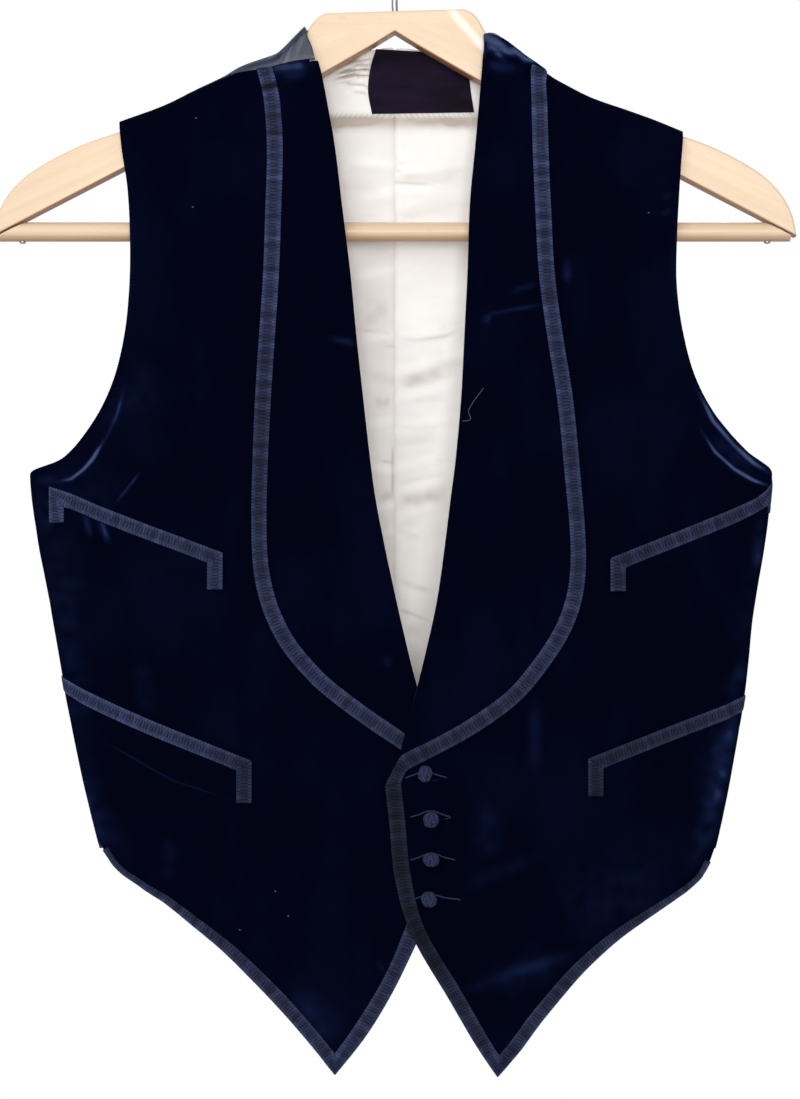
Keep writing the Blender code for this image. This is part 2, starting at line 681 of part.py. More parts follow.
def add_bar(materials, collection):
    """The trouser bar, its ends cut on the slant to lie under the arms, and the screw under each."""
    mesh = bpy.data.meshes.new("hanger_bar")
    bar = bmesh.new()
    bmesh.ops.create_cone(bar, cap_ends=True, segments=16, radius1=BAR_RADIUS * METRE,
                          radius2=BAR_RADIUS * METRE, depth=2 * BAR_END * METRE)
    for vertex in bar.verts:
        x, y, z = vertex.co
        vertex.co = Vector((z, y, -x + BAR_HEIGHT * METRE))
    (tip_x, tip_z), (under_x, under_z) = ARM_TOP[-1], ARM_UNDER[0]
    for side in SIDES.values():
        run = Vector((side * (tip_x - under_x), 0.0, tip_z - under_z)).normalized()
        normal = Vector((-run.z, 0.0, run.x)) * side
        point = Vector((side * under_x, 0.0, under_z)) - normal * SEAM_GAP
        cut = bmesh.ops.bisect_plane(bar, geom=bar.verts[:] + bar.edges[:] + bar.faces[:],
                                     plane_co=point * METRE, plane_no=normal, clear_outer=True)
        rim = [item for item in cut["geom_cut"] if isinstance(item, bmesh.types.BMEdge)]
        bmesh.ops.holes_fill(bar, edges=rim)
    bmesh.ops.recalc_face_normals(bar, faces=bar.faces[:])
    bar.to_mesh(mesh)
    bar.free()
    add_piece("hanger_bar", mesh, materials["wood"], collection)
    for name, side in SIDES.items():
        mesh = bpy.data.meshes.new(f"screw_{name}")
        head = bmesh.new()
        bmesh.ops.create_cone(head, cap_ends=True, segments=12, radius1=SCREW_RADIUS * METRE * 0.6,
                              radius2=SCREW_RADIUS * METRE, depth=SCREW_HEAD * METRE)
        below = BAR_HEIGHT - BAR_RADIUS - SEAM_GAP - SCREW_HEAD / 2
        bmesh.ops.translate(head, verts=head.verts[:], vec=Vector((side * SCREW_X, 0.0, below)) * METRE)
        head.to_mesh(mesh)
        head.free()
        add_piece(f"hanger_screw_{name}", mesh, materials["steel"], collection)


def add_hook(materials, collection):
    """A wire hook: a short stem, a bend out, and an open round that a rail hangs in."""
    radius = HOOK_RADIUS + WIRE_RADIUS
    join_angle = -52.0
    steps = 22
    route = [Vector((0.0, 0.0, HEAD_TOP + SEAM_GAP)), Vector((0.0, 0.0, HOOK_STEM_TOP)),
             Vector((1.6, 0.0, HOOK_STEM_TOP + 4.5)), Vector((6.6, 0.0, HOOK_STEM_TOP + 8.4))]
    for i in range(steps + 1):
        angle = math.radians(join_angle + (HOOK_TIP_ANGLE - join_angle) * i / steps)
        route.append(Vector((radius * math.cos(angle), 0.0, radius * math.sin(angle) - HOOK_RADIUS)))
    curve = bpy.data.curves.new("hanger_hook", "CURVE")
    curve.dimensions = "3D"
    curve.bevel_depth = WIRE_RADIUS * METRE
    curve.bevel_resolution = 2
    curve.use_fill_caps = True
    wire = curve.splines.new("POLY")
    wire.points.add(len(route) - 1)
    for point, stop in zip(wire.points, route):
        point.co = (*(stop * METRE), 1.0)
    hook = bpy.data.objects.new("hanger_hook", curve)
    curve.materials.append(materials["steel"])
    collection.objects.link(hook)


def main():
    for old in list(bpy.data.objects):
        bpy.data.objects.remove(old)
    collection = bpy.data.collections.new("waistcoat_on_hanger")
    bpy.context.scene.collection.children.link(collection)
    materials = finishes()
    add_fronts(materials, collection)
    add_collars(materials, collection)
    add_pockets(materials, collection)
    add_buttons(materials, collection)
    add_back(materials, collection)
    add_neck_patch(materials, collection)
    add_hanger_body(materials, collection)
    add_bar(materials, collection)
    add_hook(materials, collection)


main()
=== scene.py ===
"""Looks of a braid-trimmed velvet waistcoat on a wooden hanger with a trouser bar.

Laid out as an add-on and run as a script. +Z is up, -Y is the front, and +X is the wearer's left. The
origin is the top of the hook's inner curve. Tables are in millimetres, and meshes are made in metres.

A place on the cloth is stated as it would be on the flat pattern: x outwards from the centre line on the
piece's own side, and z up. Past a side fold or over a shoulder the pattern carries on round the form.
"""
from bisect import bisect_left
from collections import namedtuple
import math

import bmesh
import bpy
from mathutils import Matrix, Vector, noise


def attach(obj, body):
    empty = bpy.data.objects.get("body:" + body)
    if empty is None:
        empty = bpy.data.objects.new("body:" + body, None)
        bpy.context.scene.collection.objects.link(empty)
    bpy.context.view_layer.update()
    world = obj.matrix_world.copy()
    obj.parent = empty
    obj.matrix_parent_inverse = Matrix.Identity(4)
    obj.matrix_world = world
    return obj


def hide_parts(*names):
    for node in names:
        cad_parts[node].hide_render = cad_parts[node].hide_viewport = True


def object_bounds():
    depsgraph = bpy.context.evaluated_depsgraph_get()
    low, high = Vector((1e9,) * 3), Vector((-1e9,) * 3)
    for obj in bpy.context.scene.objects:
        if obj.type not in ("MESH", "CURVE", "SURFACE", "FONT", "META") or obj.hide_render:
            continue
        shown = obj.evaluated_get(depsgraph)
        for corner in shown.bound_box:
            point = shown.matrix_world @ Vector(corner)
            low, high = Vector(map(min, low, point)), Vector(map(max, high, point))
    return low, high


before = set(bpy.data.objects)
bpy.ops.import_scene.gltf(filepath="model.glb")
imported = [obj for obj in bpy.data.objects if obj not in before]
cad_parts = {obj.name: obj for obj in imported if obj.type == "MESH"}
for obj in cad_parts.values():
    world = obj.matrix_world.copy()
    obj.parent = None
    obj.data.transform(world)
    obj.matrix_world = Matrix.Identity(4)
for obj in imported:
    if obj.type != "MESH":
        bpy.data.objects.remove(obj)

bl_info = {
    "name": "Waistcoat on a hanger",
    "version": (1, 0, 0),
    "blender": (4, 5, 0),
    "location": "3D View > Sidebar > Waistcoat",
    "description": "Dresses the waistcoat and its hanger, and lights them",
    "category": "Add Mesh",
}

CAD_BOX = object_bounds()
METRE = 0.001
SIDES = {"right": -1, "left": 1}


# --------------------------------------------------------------------------------------- the form's tables

SIDE_FOLD = 4.0             # radius of the fold at each side seam
SHOULDER_ROLL = 9.0         # height over which the cloth turns over a hanger arm
FULLNESS = 2.4              # how flat the middle of a panel is before it falls back to the side
OVERLAP_LIFT = 5.2          # how far the left front stands off the form, to lie over the right one
LIFT_NEAR, LIFT_FAR = 30.0, 170.0            # x over which that lift fades
LIFT_TOP, LIFT_FULL_TOP = -250.0, -415.0     # heights over which it comes in
LIFT_FULL_END, LIFT_END = -580.0, -645.0     # and over which it goes
BRAID_WIDTH = 8.8
WELT_BRAID = 8.5
EDGE_BRAID_WIDTH = 7.6      # down the front edges and round the points


def table(columns, *rows):
    """A table's rows, with its columns named."""
    return tuple(columns(*row) for row in rows)


# The hollow body at each height: half widths on the wearer's right and left, and the depth of the front
# and of the back from the middle plane.
Level = namedtuple("Level", "height right left front back")
BODY = table(
    Level, (-645, 140, 150, 21, 20), (-600, 146, 158, 22, 20.5), (-531.8, 160, 174.7, 23.5, 21.5),
    (-516.3, 164.9, 178.8, 24, 21.8), (-477.5, 174.3, 186.6, 25, 22.2), (-433.3, 182.6, 193.8, 25.5, 22.5),
    (-389, 190.4, 198.7, 25.5, 22.5), (-344.7, 198.7, 205.9, 25, 22.5), (-315.9, 202, 208.7, 24.5, 22.5),
    (-290, 203.5, 209.5, 23.5, 21.8), (-240, 208, 215, 20, 19.5), (-180, 240, 248, 16, 16.5),
    (-120, 330, 330, 12.5, 13.5), (-60, 400, 400, 12, 13),
)

# The shoulder from the neck out: the height of its crest, and how far down the front the seam lies.
Shoulder = namedtuple("Shoulder", "out crest seam_drop")
SHOULDERS = {
    "right": table(
        Shoulder, (43.7, -62.5, 24), (49.1, -65.5, 21.3), (56.8, -73.2, 14.9), (64.6, -80.6, 9.3),
        (71, -83.2, 8.1), (78.6, -85.8, 6.7), (86.3, -89, 4.4), (94.1, -93.8, 1.6), (100, -96.8, 0.4),
        (109.9, -101.1, 0), (129.8, -110.5, 0), (152.6, -118.8, 0),
    ),
    "left": table(
        Shoulder, (48.7, -67.6, 5), (55.4, -70.3, 4), (60.4, -73.4, 3.2), (66.2, -77.6, 3.3),
        (72, -82, 3.4), (77, -86.4, 2), (82.9, -91.4, 0.6), (91.2, -96.7, 0), (108.3, -105.5, 0),
        (131, -113.3, 0), (146.4, -119.1, 0), (159.1, -124.3, 0),
    ),
}

# The back's edge at the neck, from the shoulder seam over the crest to its first course.
NeckEdge = namedtuple("NeckEdge", "step x")
NECK_EDGES = {
    "right": table(
        NeckEdge, (0, 43.7), (0.2, 45.6), (0.4, 48.2), (0.6, 49.6), (0.82, 49), (1, 39),
    ),
    "left": table(
        NeckEdge, (0, 48.7), (0.2, 51.6), (0.45, 55.2), (0.7, 54.5), (1, 39),
    ),
}

# Courses run across a panel from its outer edge, at armhole or side seam, to its inner edge. An outer x of
# None is at the side seam. The hem and the courses above it rise in the middle by `bow`.
Course = namedtuple("Course", "outer_x outer_z inner_x inner_z bow", defaults=(0,))
FRONT = {
    "right": table(
        Course, (150, -135.9, 38.1, -103), (146.7, -157.9, 34.5, -125.6), (145.3, -187, 29.5, -164),
        (145.8, -213, 24.9, -200), (148.6, -239, 20.8, -240), (155, -264, 17.3, -274.2),
        (165.5, -285, 13.5, -305), (182, -304.5, 10.3, -330), (None, -315.9, 5, -356),
        (None, -344.7, -0.6, -382), (None, -377, -7.5, -412), (None, -407, -12.6, -431.8),
        (None, -438, -22.3, -469.8, 1), (None, -456, -26.7, -492, 2), (None, -472, -26, -525, 3.5),
        (None, -486, -19.5, -551, 5.5), (None, -497.5, -2.3, -589.7, 8), (None, -505.5, 14, -617.5, 10.5),
        (None, -508.5, 28.4, -636.2, 12), (None, -514, 32.6, -641.2, 12.5),
    ),
    "left": table(
        Course, (157.3, -141, 46.6, -103), (156, -160, 44.8, -125.6), (154.6, -187, 41.1, -164.4),
        (154.6, -211, 39.8, -200), (158, -236, 37.8, -240), (165, -261, 36, -274.2),
        (176.5, -282, 33.3, -303), (193.2, -300.6, 30, -330), (None, -315.9, 27.3, -356),
        (None, -344.7, 23.6, -381), (None, -374, 18.5, -409), (None, -405, 12.5, -431.5),
        (None, -435, 1.7, -469.3, 1), (None, -452, -5.3, -483.4, 2), (None, -466, -3.1, -503.4, 3),
        (None, -480, 0.1, -534.3, 5), (None, -492, 8.8, -563.7, 7), (None, -503, 29.4, -599.5, 9.5),
        (None, -509, 44, -624.5, 11.5), (None, -514.5, 52.2, -637, 12), (None, -520, 55.9, -642.5, 12.5),
    ),
}

# How much lower than its bow each hem runs, at shares of the way from the side seam to the point.
HemSag = namedtuple("HemSag", "share drop")
HEM_SAG = {
    "right": table(
        HemSag, (0, 0), (0.038, 1.7), (0.075, 6.6), (0.13, 9.5), (0.175, 9.1), (0.24, 8.6), (0.3, 7.1),
        (0.42, 6), (0.54, 4), (0.66, 3.2), (0.78, 2), (0.9, 1.1), (1, 0.7),
    ),
    "left": table(
        HemSag, (0, -1.5), (0.026, -1.4), (0.046, 3.2), (0.08, 8.6), (0.13, 10.8), (0.193, 10.9),
        (0.285, 9.3), (0.374, 7), (0.463, 4.5), (0.55, 2.8), (0.64, 1.7), (0.727, 1.7), (0.814, 1.9),
        (0.9, 3), (1, 0.8),
    ),
}

# The shawl collar, from its outer edge to the edge of the neck opening.
COLLARS = {
    "right": table(
        Course, (75.8, -92.4, 42, -87.5), (73.6, -100.5, 39.8, -96), (71.6, -111, 37.5, -108),
        (70, -136.9, 32.9, -134), (70.8, -170, 28.5, -170), (71.9, -205.8, 24.3, -204),
        (74, -240, 20.8, -240), (76, -274.2, 17.3, -272), (77.5, -317.8, 14, -301),
        (77.8, -343, 11.5, -321), (77, -363, 9, -336), (74.3, -379, 6.8, -347), (69.4, -393.8, 4.6, -358),
        (60.7, -410, 2, -370), (46, -427.3, -1.5, -386), (34.7, -437.2, -4.5, -399), (17, -450.4, -9, -418),
        (-1.2, -462.7, -14, -437), (-14.5, -471.5, -19.8, -460),
    ),
    "left": table(
        Course, (82.4, -94, 48.8, -79), (82.6, -98, 48.2, -85), (82.9, -103, 47.6, -93),
        (83.4, -111, 46.5, -106), (84.1, -136.9, 44, -134), (85.3, -168, 41, -166),
        (87.3, -205.8, 39.6, -204), (91.4, -238, 37.9, -238), (96.9, -274.2, 36, -273),
        (100.8, -317.8, 32.8, -308), (103, -345, 30.3, -327), (103.4, -366, 28.2, -344),
        (100.9, -384, 26.3, -359), (94.5, -401, 24.5, -372), (84.1, -417.4, 22.2, -386),
        (67.8, -437, 19, -401), (46.1, -453.1, 14.3, -421), (25.5, -464.8, 7.5, -447),
        (9.5, -473.2, 3.3, -464),
    ),
}

# Below the left collar its braid turns down the front edge, to a butt joint with the edge braid at the
# front's next course.
BREAK_TURN = ((6.3, -475.4), (1.7, -469.3))
EDGE_BRAID_TOP = {"right": -551.0, "left": -483.4}

# The back, from armhole or side seam to the back neckline and then the centre seam.
BACK = table(
    Course, (147, -137, 41, -72.6), (145.3, -147, 30, -75.8), (144, -158, 15, -77.2), (143, -172, 0, -77.4),
    (142, -196, 0, -118), (143, -224, 0, -165), (150, -256, 0, -215), (162.5, -283, 0, -262),
    (181, -305.5, 0, -298), (None, -315.9, 0, -326), (None, -352, 0, -360), (None, -389, 0, -394),
    (None, -433, 0, -436), (None, -477.5, 0, -478), (None, -521, 0, -524),
)

# Pocket welts: the line of each one's top edge, from the side in, and its height.
Welt = namedtuple("Welt", "height side_leg top")
WELTS = {
    "upper_right": Welt(20.0, True, ((189.8, -320.7), (181.0, -323.0), (168.6, -328.7), (138.0, -340.6),
                                     (93.4, -357.2))),
    "lower_right": Welt(23.0, False, ((186.0, -425.0), (178.2, -428.7), (159.0, -437.6), (135.6, -447.6),
                                      (77.6, -470.2))),
    "upper_left": Welt(18.0, True, ((214.2, -317.4), (206.0, -322.8), (192.9, -329.8), (167.3, -340.3),
                                    (139.5, -351.2), (116.9, -360.2))),
    "lower_left": Welt(20.5, False, ((194.6, -435.6), (182.0, -440.4), (147.2, -453.0), (104.6, -469.0))),
}

# Buttons, at x outwards on the wearer's left and their height.
BUTTONS = ((16.3, -476.4), (19.5, -501.2), (19.5, -522.7), (18.4, -544.3))

# Buttonholes: where each starts and ends, its height, and how far the knot pushes its upper lip up.
BUTTONHOLES = ((6.1, 27.8, -479.0, 2.6), (8.6, 30.0, -500.4, 2.4), (8.8, 32.2, -523.6, 2.8),
               (9.6, 35.4, -545.4, 2.6))

# A loose end of thread on the left collar, and specks of lint: side, x and height.
THREAD = ((48.0, -268.0), (40.0, -280.0), (41.0, -285.0), (36.5, -286.0))
LINT = (("right", 110.6, -168.0), ("right", 109.0, -119.0), ("right", 65.0, -541.5),
        ("right", 58.0, -555.0), ("right", 84.5, -563.0), ("left", 139.0, -171.0))

# The patch inside the back neck, as courses from the wearer's left to right, x being to the wearer's left.
PATCH = table(
    Course, (41.3, -79.8, -10.6, -76.9), (41.3, -90, -13.8, -88), (42.2, -100, -15, -100.3),
    (44.1, -112, -12.8, -112.9),
)

# One half of the hanger's outline, top edge from the head out and lower edge back to the centre.
ARM_TOP = ((38.0, -59.5), (42.8, -61.9), (46.3, -66.0), (50.0, -72.5), (56.5, -80.0), (66.0, -88.0),
           (78.0, -95.0), (92.0, -102.0), (110.0, -110.8), (131.0, -118.6), (152.2, -126.2),
           (175.4, -134.6), (199.4, -147.6), (211.5, -158.6), (218.5, -170.6), (221.5, -183.4))
ARM_UNDER = ((150.0, -146.5), (98.0, -122.5), (46.0, -97.0), (12.0, -77.4), (0.0, -70.0))


# ------------------------------------------------------------------------------------------ the form

class Smooth:
    """A smooth curve through a table's rows, read by the table's first column."""

    def __init__(self, table, column):
        rows = sorted(table)
        place = rows[0]._fields.index(column)
        self.where = [row[0] for row in rows]
        self.value = [row[place] for row in rows]
        self.slope = []
        for i in range(len(rows)):
            low, high = max(i - 1, 0), min(i + 1, len(rows) - 1)
            self.slope.append((self.value[high] - self.value[low]) / (self.where[high] - self.where[low]))

    def __call__(self, at):
        where, value, slope = self.where, self.value, self.slope
        if at <= where[0]:
            return value[0]
        if at >= where[-1]:
            return value[-1]
        b = bisect_left(where, at)
        a = b - 1
        step = where[b] - where[a]
        t = (at - where[a]) / step
        return ((1 + 2 * t) * (1 - t) ** 2 * value[a] + t ** 2 * (3 - 2 * t) * value[b]
                + step * (t * (1 - t) ** 2 * slope[a] - t ** 2 * (1 - t) * slope[b]))


HALF = {side: Smooth(BODY, side) for side in SIDES}
DEPTH = {face: Smooth(BODY, face) for face in ("front", "back")}
CREST = {side: Smooth(SHOULDERS[side], "crest") for side in SIDES}
SEAM_DROP = {side: Smooth(SHOULDERS[side], "seam_drop") for side in SIDES}
NECK_EDGE = {side: Smooth(NECK_EDGES[side], "x") for side in SIDES}
HEM_SAG_AT = {side: Smooth(HEM_SAG[side], "drop") for side in SIDES}


def ease(value, start, end):
    """0 before start, 1 after end, and a smooth step between."""
    t = min(max((value - start) / (end - start), 0.0), 1.0)
    return t * t * (3 - 2 * t)


def seam_x(side, height):
    """Pattern x of the side seam: the cloth's own length round the side fold."""
    return HALF[side](height) + SIDE_FOLD * (math.pi / 2 - 1)


def roll_start(side, x):
    """Height at which the cloth starts to turn over the shoulder."""
    return CREST[side](x) - SHOULDER_ROLL


def over_front(side, x):
    """Pattern height of the shoulder seam, seen from the front."""
    start = roll_start(side, x)
    drop = max(SEAM_DROP[side](x), 0.0)
    if drop >= SHOULDER_ROLL:
        return start + SHOULDER_ROLL - drop
    return start + SHOULDER_ROLL * math.asin(1 - drop / SHOULDER_ROLL)


def over_back(side, x):
    """Pattern height of the same seam, come to from the back over the crest."""
    apex = roll_start(side, x) + SHOULDER_ROLL * math.pi / 2
    return 2 * apex - over_front(side, x)


def lift(side, x, z):
    """How far the left front stands off the form, to lie over the right one."""
    if side == "right":
        return 0.0
    across = 1 - ease(x, LIFT_NEAR, LIFT_FAR)
    down = ease(-z, -LIFT_TOP, -LIFT_FULL_TOP) * (1 - ease(-z, -LIFT_FULL_END, -LIFT_END))
    return OVERLAP_LIFT * across * down


def form(side, face, x, z):
    """The place on the garment's outer face for a pattern place x, z, in millimetres."""
    turn = 1.0
    start = roll_start(side, abs(x))
    height = z
    if z > start:
        angle = min((z - start) / SHOULDER_ROLL, math.pi)
        turn = math.cos(angle)
        past = max(z - start - SHOULDER_ROLL * math.pi, 0.0)
        height = start + SHOULDER_ROLL * math.sin(angle) - past
    half = HALF[side](height)
    near, far = ("front", "back") if face == "front" else ("back", "front")
    full = DEPTH[near](height) * (1 + turn) / 2 + DEPTH[far](height) * (1 - turn) / 2
    flat = half - SIDE_FOLD
    share = min(abs(x), flat) / half
    depth = SIDE_FOLD + (full - SIDE_FOLD) * (1 - share ** FULLNESS)
    if x > flat:
        angle = (x - flat) / SIDE_FOLD
        depth *= math.cos(angle)
        x = flat + SIDE_FOLD * math.sin(angle)
    if face == "front":
        depth += lift(side, x, height)
    outward = -1 if face == "front" else 1
    return Vector((SIDES[side] * x, outward * turn * depth, height))


def place(side, face, x, z, out=0.0):
    """A pattern place moved out from the form along its normal."""
    probe = 0.2
    across = form(side, face, x + probe, z) - form(side, face, x - probe, z)
    up = form(side, face, x, z + probe) - form(side, face, x, z - probe)
    normal = across.cross(up).normalized()
    if (SIDES[side] > 0) == (face == "back"):
        normal.negate()
    return form(side, face, x, z) + normal * out


# ------------------------------------------------------------------------------ folds, creases and nap

# A fold runs between two pattern places. It is `width` across and stands `rise` proud towards the wearer,
# or sinks if that is negative.
Fold = namedtuple("Fold", "x0 z0 x1 z1 width rise")
LINING_FOLDS = {
    "right": table(
        Fold, (14, -79.5, 29, -87.5, 1.1, 1.2), (14, -83.5, 31, -91.5, 1.1, 1.3),
        (14.5, -88.5, 33, -94.5, 1.2, 1.3), (14.5, -93, 33, -97.5, 1.1, 1), (15, -97.5, 28, -101, 1.1, 0.8),
        (20, -76, 33, -84, 1.3, 0.8), (-2, -141, 26, -139, 2.6, 0.8), (0, -156, 24, -161, 3.4, 0.7),
        (0, -172, 24, -168, 4, 0.6), (0, -198, 22, -203, 3.4, 0.6), (0, -236, 18, -238, 3, 0.8),
        (-2, -262, 16, -258, 3, -0.7), (0, -283, 16, -286, 2.6, 0.6), (0, -312, 14, -309, 2.6, 0.8),
        (0, -330, 12, -334, 2.4, 0.7), (0, -345, 10, -347, 2.2, 0.6),
    ),
    "left": table(
        Fold, (0.5, -138.5, 20, -137.5, 1.6, 1), (0.5, -145.5, 42, -141, 2.2, 1.3),
        (1, -150, 36, -149, 2, -0.9), (0.5, -155, 26, -157, 2, 0.9), (2, -170, 40, -163, 4, -0.6),
        (0, -197, 30, -192, 3.6, 0.6), (0, -238, 36, -232, 3, 0.9), (0, -258, 36, -249, 3.2, 1.5),
        (2, -265, 34, -257, 2.6, -1), (0, -272, 30, -266, 2.6, 0.9), (0, -290, 28, -284, 3, 0.9),
        (1, -297, 24, -293, 2.4, -0.6), (0, -311, 24, -304, 2.6, 0.8), (0, -326, 26, -318, 3, 1.1),
        (2, -338, 20, -331, 2.6, 0.8), (2, -349, 14, -344, 2.4, 0.6),
    ),
}
# Crushed cloth near the shoulder seams, and creases pressed into the velvet.
FRONT_FOLDS = {
    "right": table(
        Fold, (152, -328, 140, -314, 1.6, -0.5), (35, -240.8, 22, -243.5, 1.6, -0.6),
        (124, -514, 122, -537, 3, -0.6), (186, -322, 164, -302, 2.4, -0.8), (161, -338, 157, -352, 2, -0.5),
        (170, -336, 167, -350, 2, -0.5),
    ),
    "left": table(
        Fold, (50, -230, 80, -222, 1.5, -0.7), (62, -215, 78, -210.5, 1.5, -0.4),
        (169, -277, 190, -302, 1.7, -0.8), (189, -301, 206, -316, 1.7, -0.8),
        (171, -293, 189, -313, 1.8, -0.9), (189, -313, 206, -321, 1.8, -0.9),
        (38, -594, 64, -585, 2.2, -0.6), (64, -585, 101, -575, 2.2, -0.6), (76, -436, 76, -476, 3, -0.4),
        (148, -164, 152, -160, 2, -0.6), (146, -172, 152, -168, 2, -0.6),
    ),
}

# Where the velvet reads paler, along a line of pattern places, `width` to each side of it. Partly this is
# pile that has been brushed or crushed. Partly it is painted sheen where the fronts turn away at the sides,
# and painted highlights on crumples, ridges and the collar's rolled edge.
PaintMark = namedtuple("PaintMark", "line width tone")
NAP_AND_PAINTED_LIGHT = {
    "right": table(
        PaintMark, (((186, -318.3), (178, -316.6), (171, -311.5), (166, -306), (160, -296.5)), 0.9, 1.9),
        (((164, -303), (158, -294), (152, -281), (148, -266)), 0.9, 0.38),
        (((158, -292), (146, -262)), 7, 0.072), (((153, -330), (139, -313)), 0.7, 0.45),
        (((36, -240.5), (21, -243.5)), 1.4, 0.3), (((139, -250), (138, -286)), 9, 0.043),
        (((70, -92), (58, -90.5), (46, -89)), 3, 0.62), (((62, -97), (48, -95)), 2.2, 0.22),
        (((187, -330), (182, -420), (172, -480)), 13, 0.115),
        (((177, -470), (170, -500), (156, -524)), 8, 0.216), (((174, -488), (166, -511)), 2.6, 0.158),
        (((140, -412), (134, -450)), 5, 0.094), (((124, -512), (124, -538)), 4, 0.115),
        (((58, -596), (42, -612), (30, -624)), 8, 0.173), (((6, -585), (9, -580)), 1.2, 0.4),
        (((200, -320), (150, -330)), 12, 0.072), (((161, -338), (157, -352)), 1.6, 0.4),
        (((170, -336), (167, -348)), 1.5, 0.35), (((5, -413), (3, -420)), 2.4, 0.144),
        (((148, -140), (146, -200), (150, -245)), 3, 0.072), (((196, -325), (190, -352)), 5, 0.13),
        (((162, -460), (122, -481.5), (89, -492)), 0.5, 0.22), (((198, -317.5), (185, -316.5)), 2, 0.144),
    ),
    "left": table(
        PaintMark, (((44, -70), (52, -76.5), (58, -79)), 2.4, 1.15),
        (((54, -76), (61, -82.5), (67, -84.5)), 1.5, 1.2),
        (((48, -80.5), (54, -81), (60, -87.5)), 1.5, 0.7),
        (((62, -79.5), (71, -87), (78, -88.5)), 1.2, 1.2), (((50, -88.5), (56, -91), (68, -92)), 2.4, 0.3),
        (((47, -76), (49, -86)), 1.2, 0.6), (((51, -232), (52, -227), (66, -224.5), (80, -222)), 1, 0.3),
        (((50, -227), (50, -233)), 2, 0.216), (((62, -215), (78, -210.5)), 1.4, 0.16),
        (((94, -197), (94.5, -210)), 2, 0.302),
        (((168, -290), (176, -302), (187, -311.5), (198, -317.5), (208, -321)), 0.85, 1.5),
        (((165, -266), (175, -285), (187, -298.5), (198, -308), (212, -316)), 1.1, 1),
        (((172, -290), (190, -307), (205, -317)), 6, 0.115), (((76, -436), (76, -478)), 2.6, 0.115),
        (((50, -488), (50, -526)), 5, 0.101), (((35, -539), (79, -522)), 4, 0.086),
        (((38, -594.5), (64, -585), (101, -575)), 2.8, 0.216), (((50, -592), (90, -580)), 9, 0.101),
        (((187, -428), (181, -470), (174, -505), (163, -532)), 5.5, 0.302),
        (((184, -440), (176, -500)), 14, 0.072), (((90, -562), (150, -535)), 22, 0.094),
        (((147, -163), (152, -160)), 1.5, 0.15), (((146, -172), (152, -169)), 1.5, 0.15),
        (((205, -340), (198, -420)), 12, 0.05), (((202, -338), (200, -368)), 3, 0.252),
        (((13.2, -424), (6.4, -447), (2.4, -463)), 0.5, 0.7), (((192, -414), (190, -430)), 4, 0.18),
        (((156, -150), (153, -200), (156, -236)), 2, 0.072),
    ),
}
# The same for where the lining is in shade: in its creases, under its seams, and on its right half.
SHADE = {
    "right": table(
        PaintMark, (((11, -88.6), (22, -88.2), (33, -91)), 0.65, 1.5),
        (((11, -92), (22, -91.2), (34, -94)), 0.7, 1.2), (((11, -81.6), (22, -83.6), (31, -87)), 0.7, 1),
        (((12, -85), (26, -86.5)), 0.6, 0.8), (((12, -99), (20, -96.5), (31, -95.5)), 0.9, 0.8),
        (((14, -102), (26, -99.5)), 0.9, 0.5), (((43, -118), (24, -117.6), (9, -116.2)), 2, 0.4),
        (((44, -122), (28, -120.5)), 1.8, 0.25), (((2, -222), (20, -222)), 7, 0.22),
        (((0, -235.4), (10, -233.5), (21, -232)), 1, 0.45), (((0, -241.5), (7, -241.5)), 0.8, 0.3),
        (((2, -271.5), (12, -271.5)), 3.5, 0.38), (((1.6, -294), (1.6, -330)), 0.7, 0.5),
        (((1, -306.7), (8, -306)), 0.9, 0.35), (((1, -325), (9, -327)), 3, 0.3),
        (((0, -188), (26, -188)), 2, 0.15), (((8, -152), (34, -154)), 3, 0.08),
        (((3, -168), (30, -170)), 1.4, 0.08),
    ),
    "left": table(
        PaintMark, (((24, -116.3), (45, -119.5)), 2.2, 0.4), (((-5, -137), (3, -137)), 0.6, 0.3),
        (((-5, -143.5), (5, -144.4)), 0.6, 0.38), (((-4, -150), (10, -151.2), (22, -151.6)), 0.9, 0.36),
        (((24, -142), (42, -150)), 6, 0.12), (((0, -168.5), (19, -168.7)), 1.2, 0.16),
        (((-1, -235.4), (12, -238), (28, -235.8), (39, -231)), 1, 0.34),
        (((22, -232.5), (39, -228)), 3, 0.18), (((0, -262), (14, -259), (39, -248)), 4, 0.4),
        (((0, -287), (14, -287), (35, -284)), 1.2, 0.18),
        (((1, -327.5), (12, -328), (31, -322)), 3.6, 0.42), (((1, -346), (15, -348)), 1.6, 0.2),
        (((1, -373), (21, -379)), 1.6, 0.36), (((1, -389), (8, -391), (21, -396.5)), 1, 0.5),
        (((6, -398), (16, -402)), 4, 0.25), (((-2, -328), (34, -326)), 7, 0.14),
        (((7, -404), (12, -418), (13, -440)), 6, 0.1), (((0, -252), (38, -243)), 3, 0.1),
        (((0, -318), (30, -313)), 1.2, 0.14),
    ),
}
FINE_MARK = 1.1              # marks no wider than this get finer cloth


def off_line(line, x, z):
    """How far a pattern place is from a line of places, and how much of it is left to its nearer end."""
    nearest, left, gone = 1e9, 0.0, 0.0
    spans = [math.hypot(x1 - x0, z1 - z0) for (x0, z0), (x1, z1) in zip(line, line[1:])]
    for (x0, z0), (x1, z1), span in zip(line, line[1:], spans):
        along = ((x - x0) * (x1 - x0) + (z - z0) * (z1 - z0)) / span ** 2
        along = min(max(along, 0.0), 1.0)
        off = math.hypot(x - x0 - along * (x1 - x0), z - z0 - along * (z1 - z0))
        if off < nearest:
            here = gone + along * span
            nearest, left = off, min(here, sum(spans) - here) / sum(spans)
        gone += span
    return nearest, left


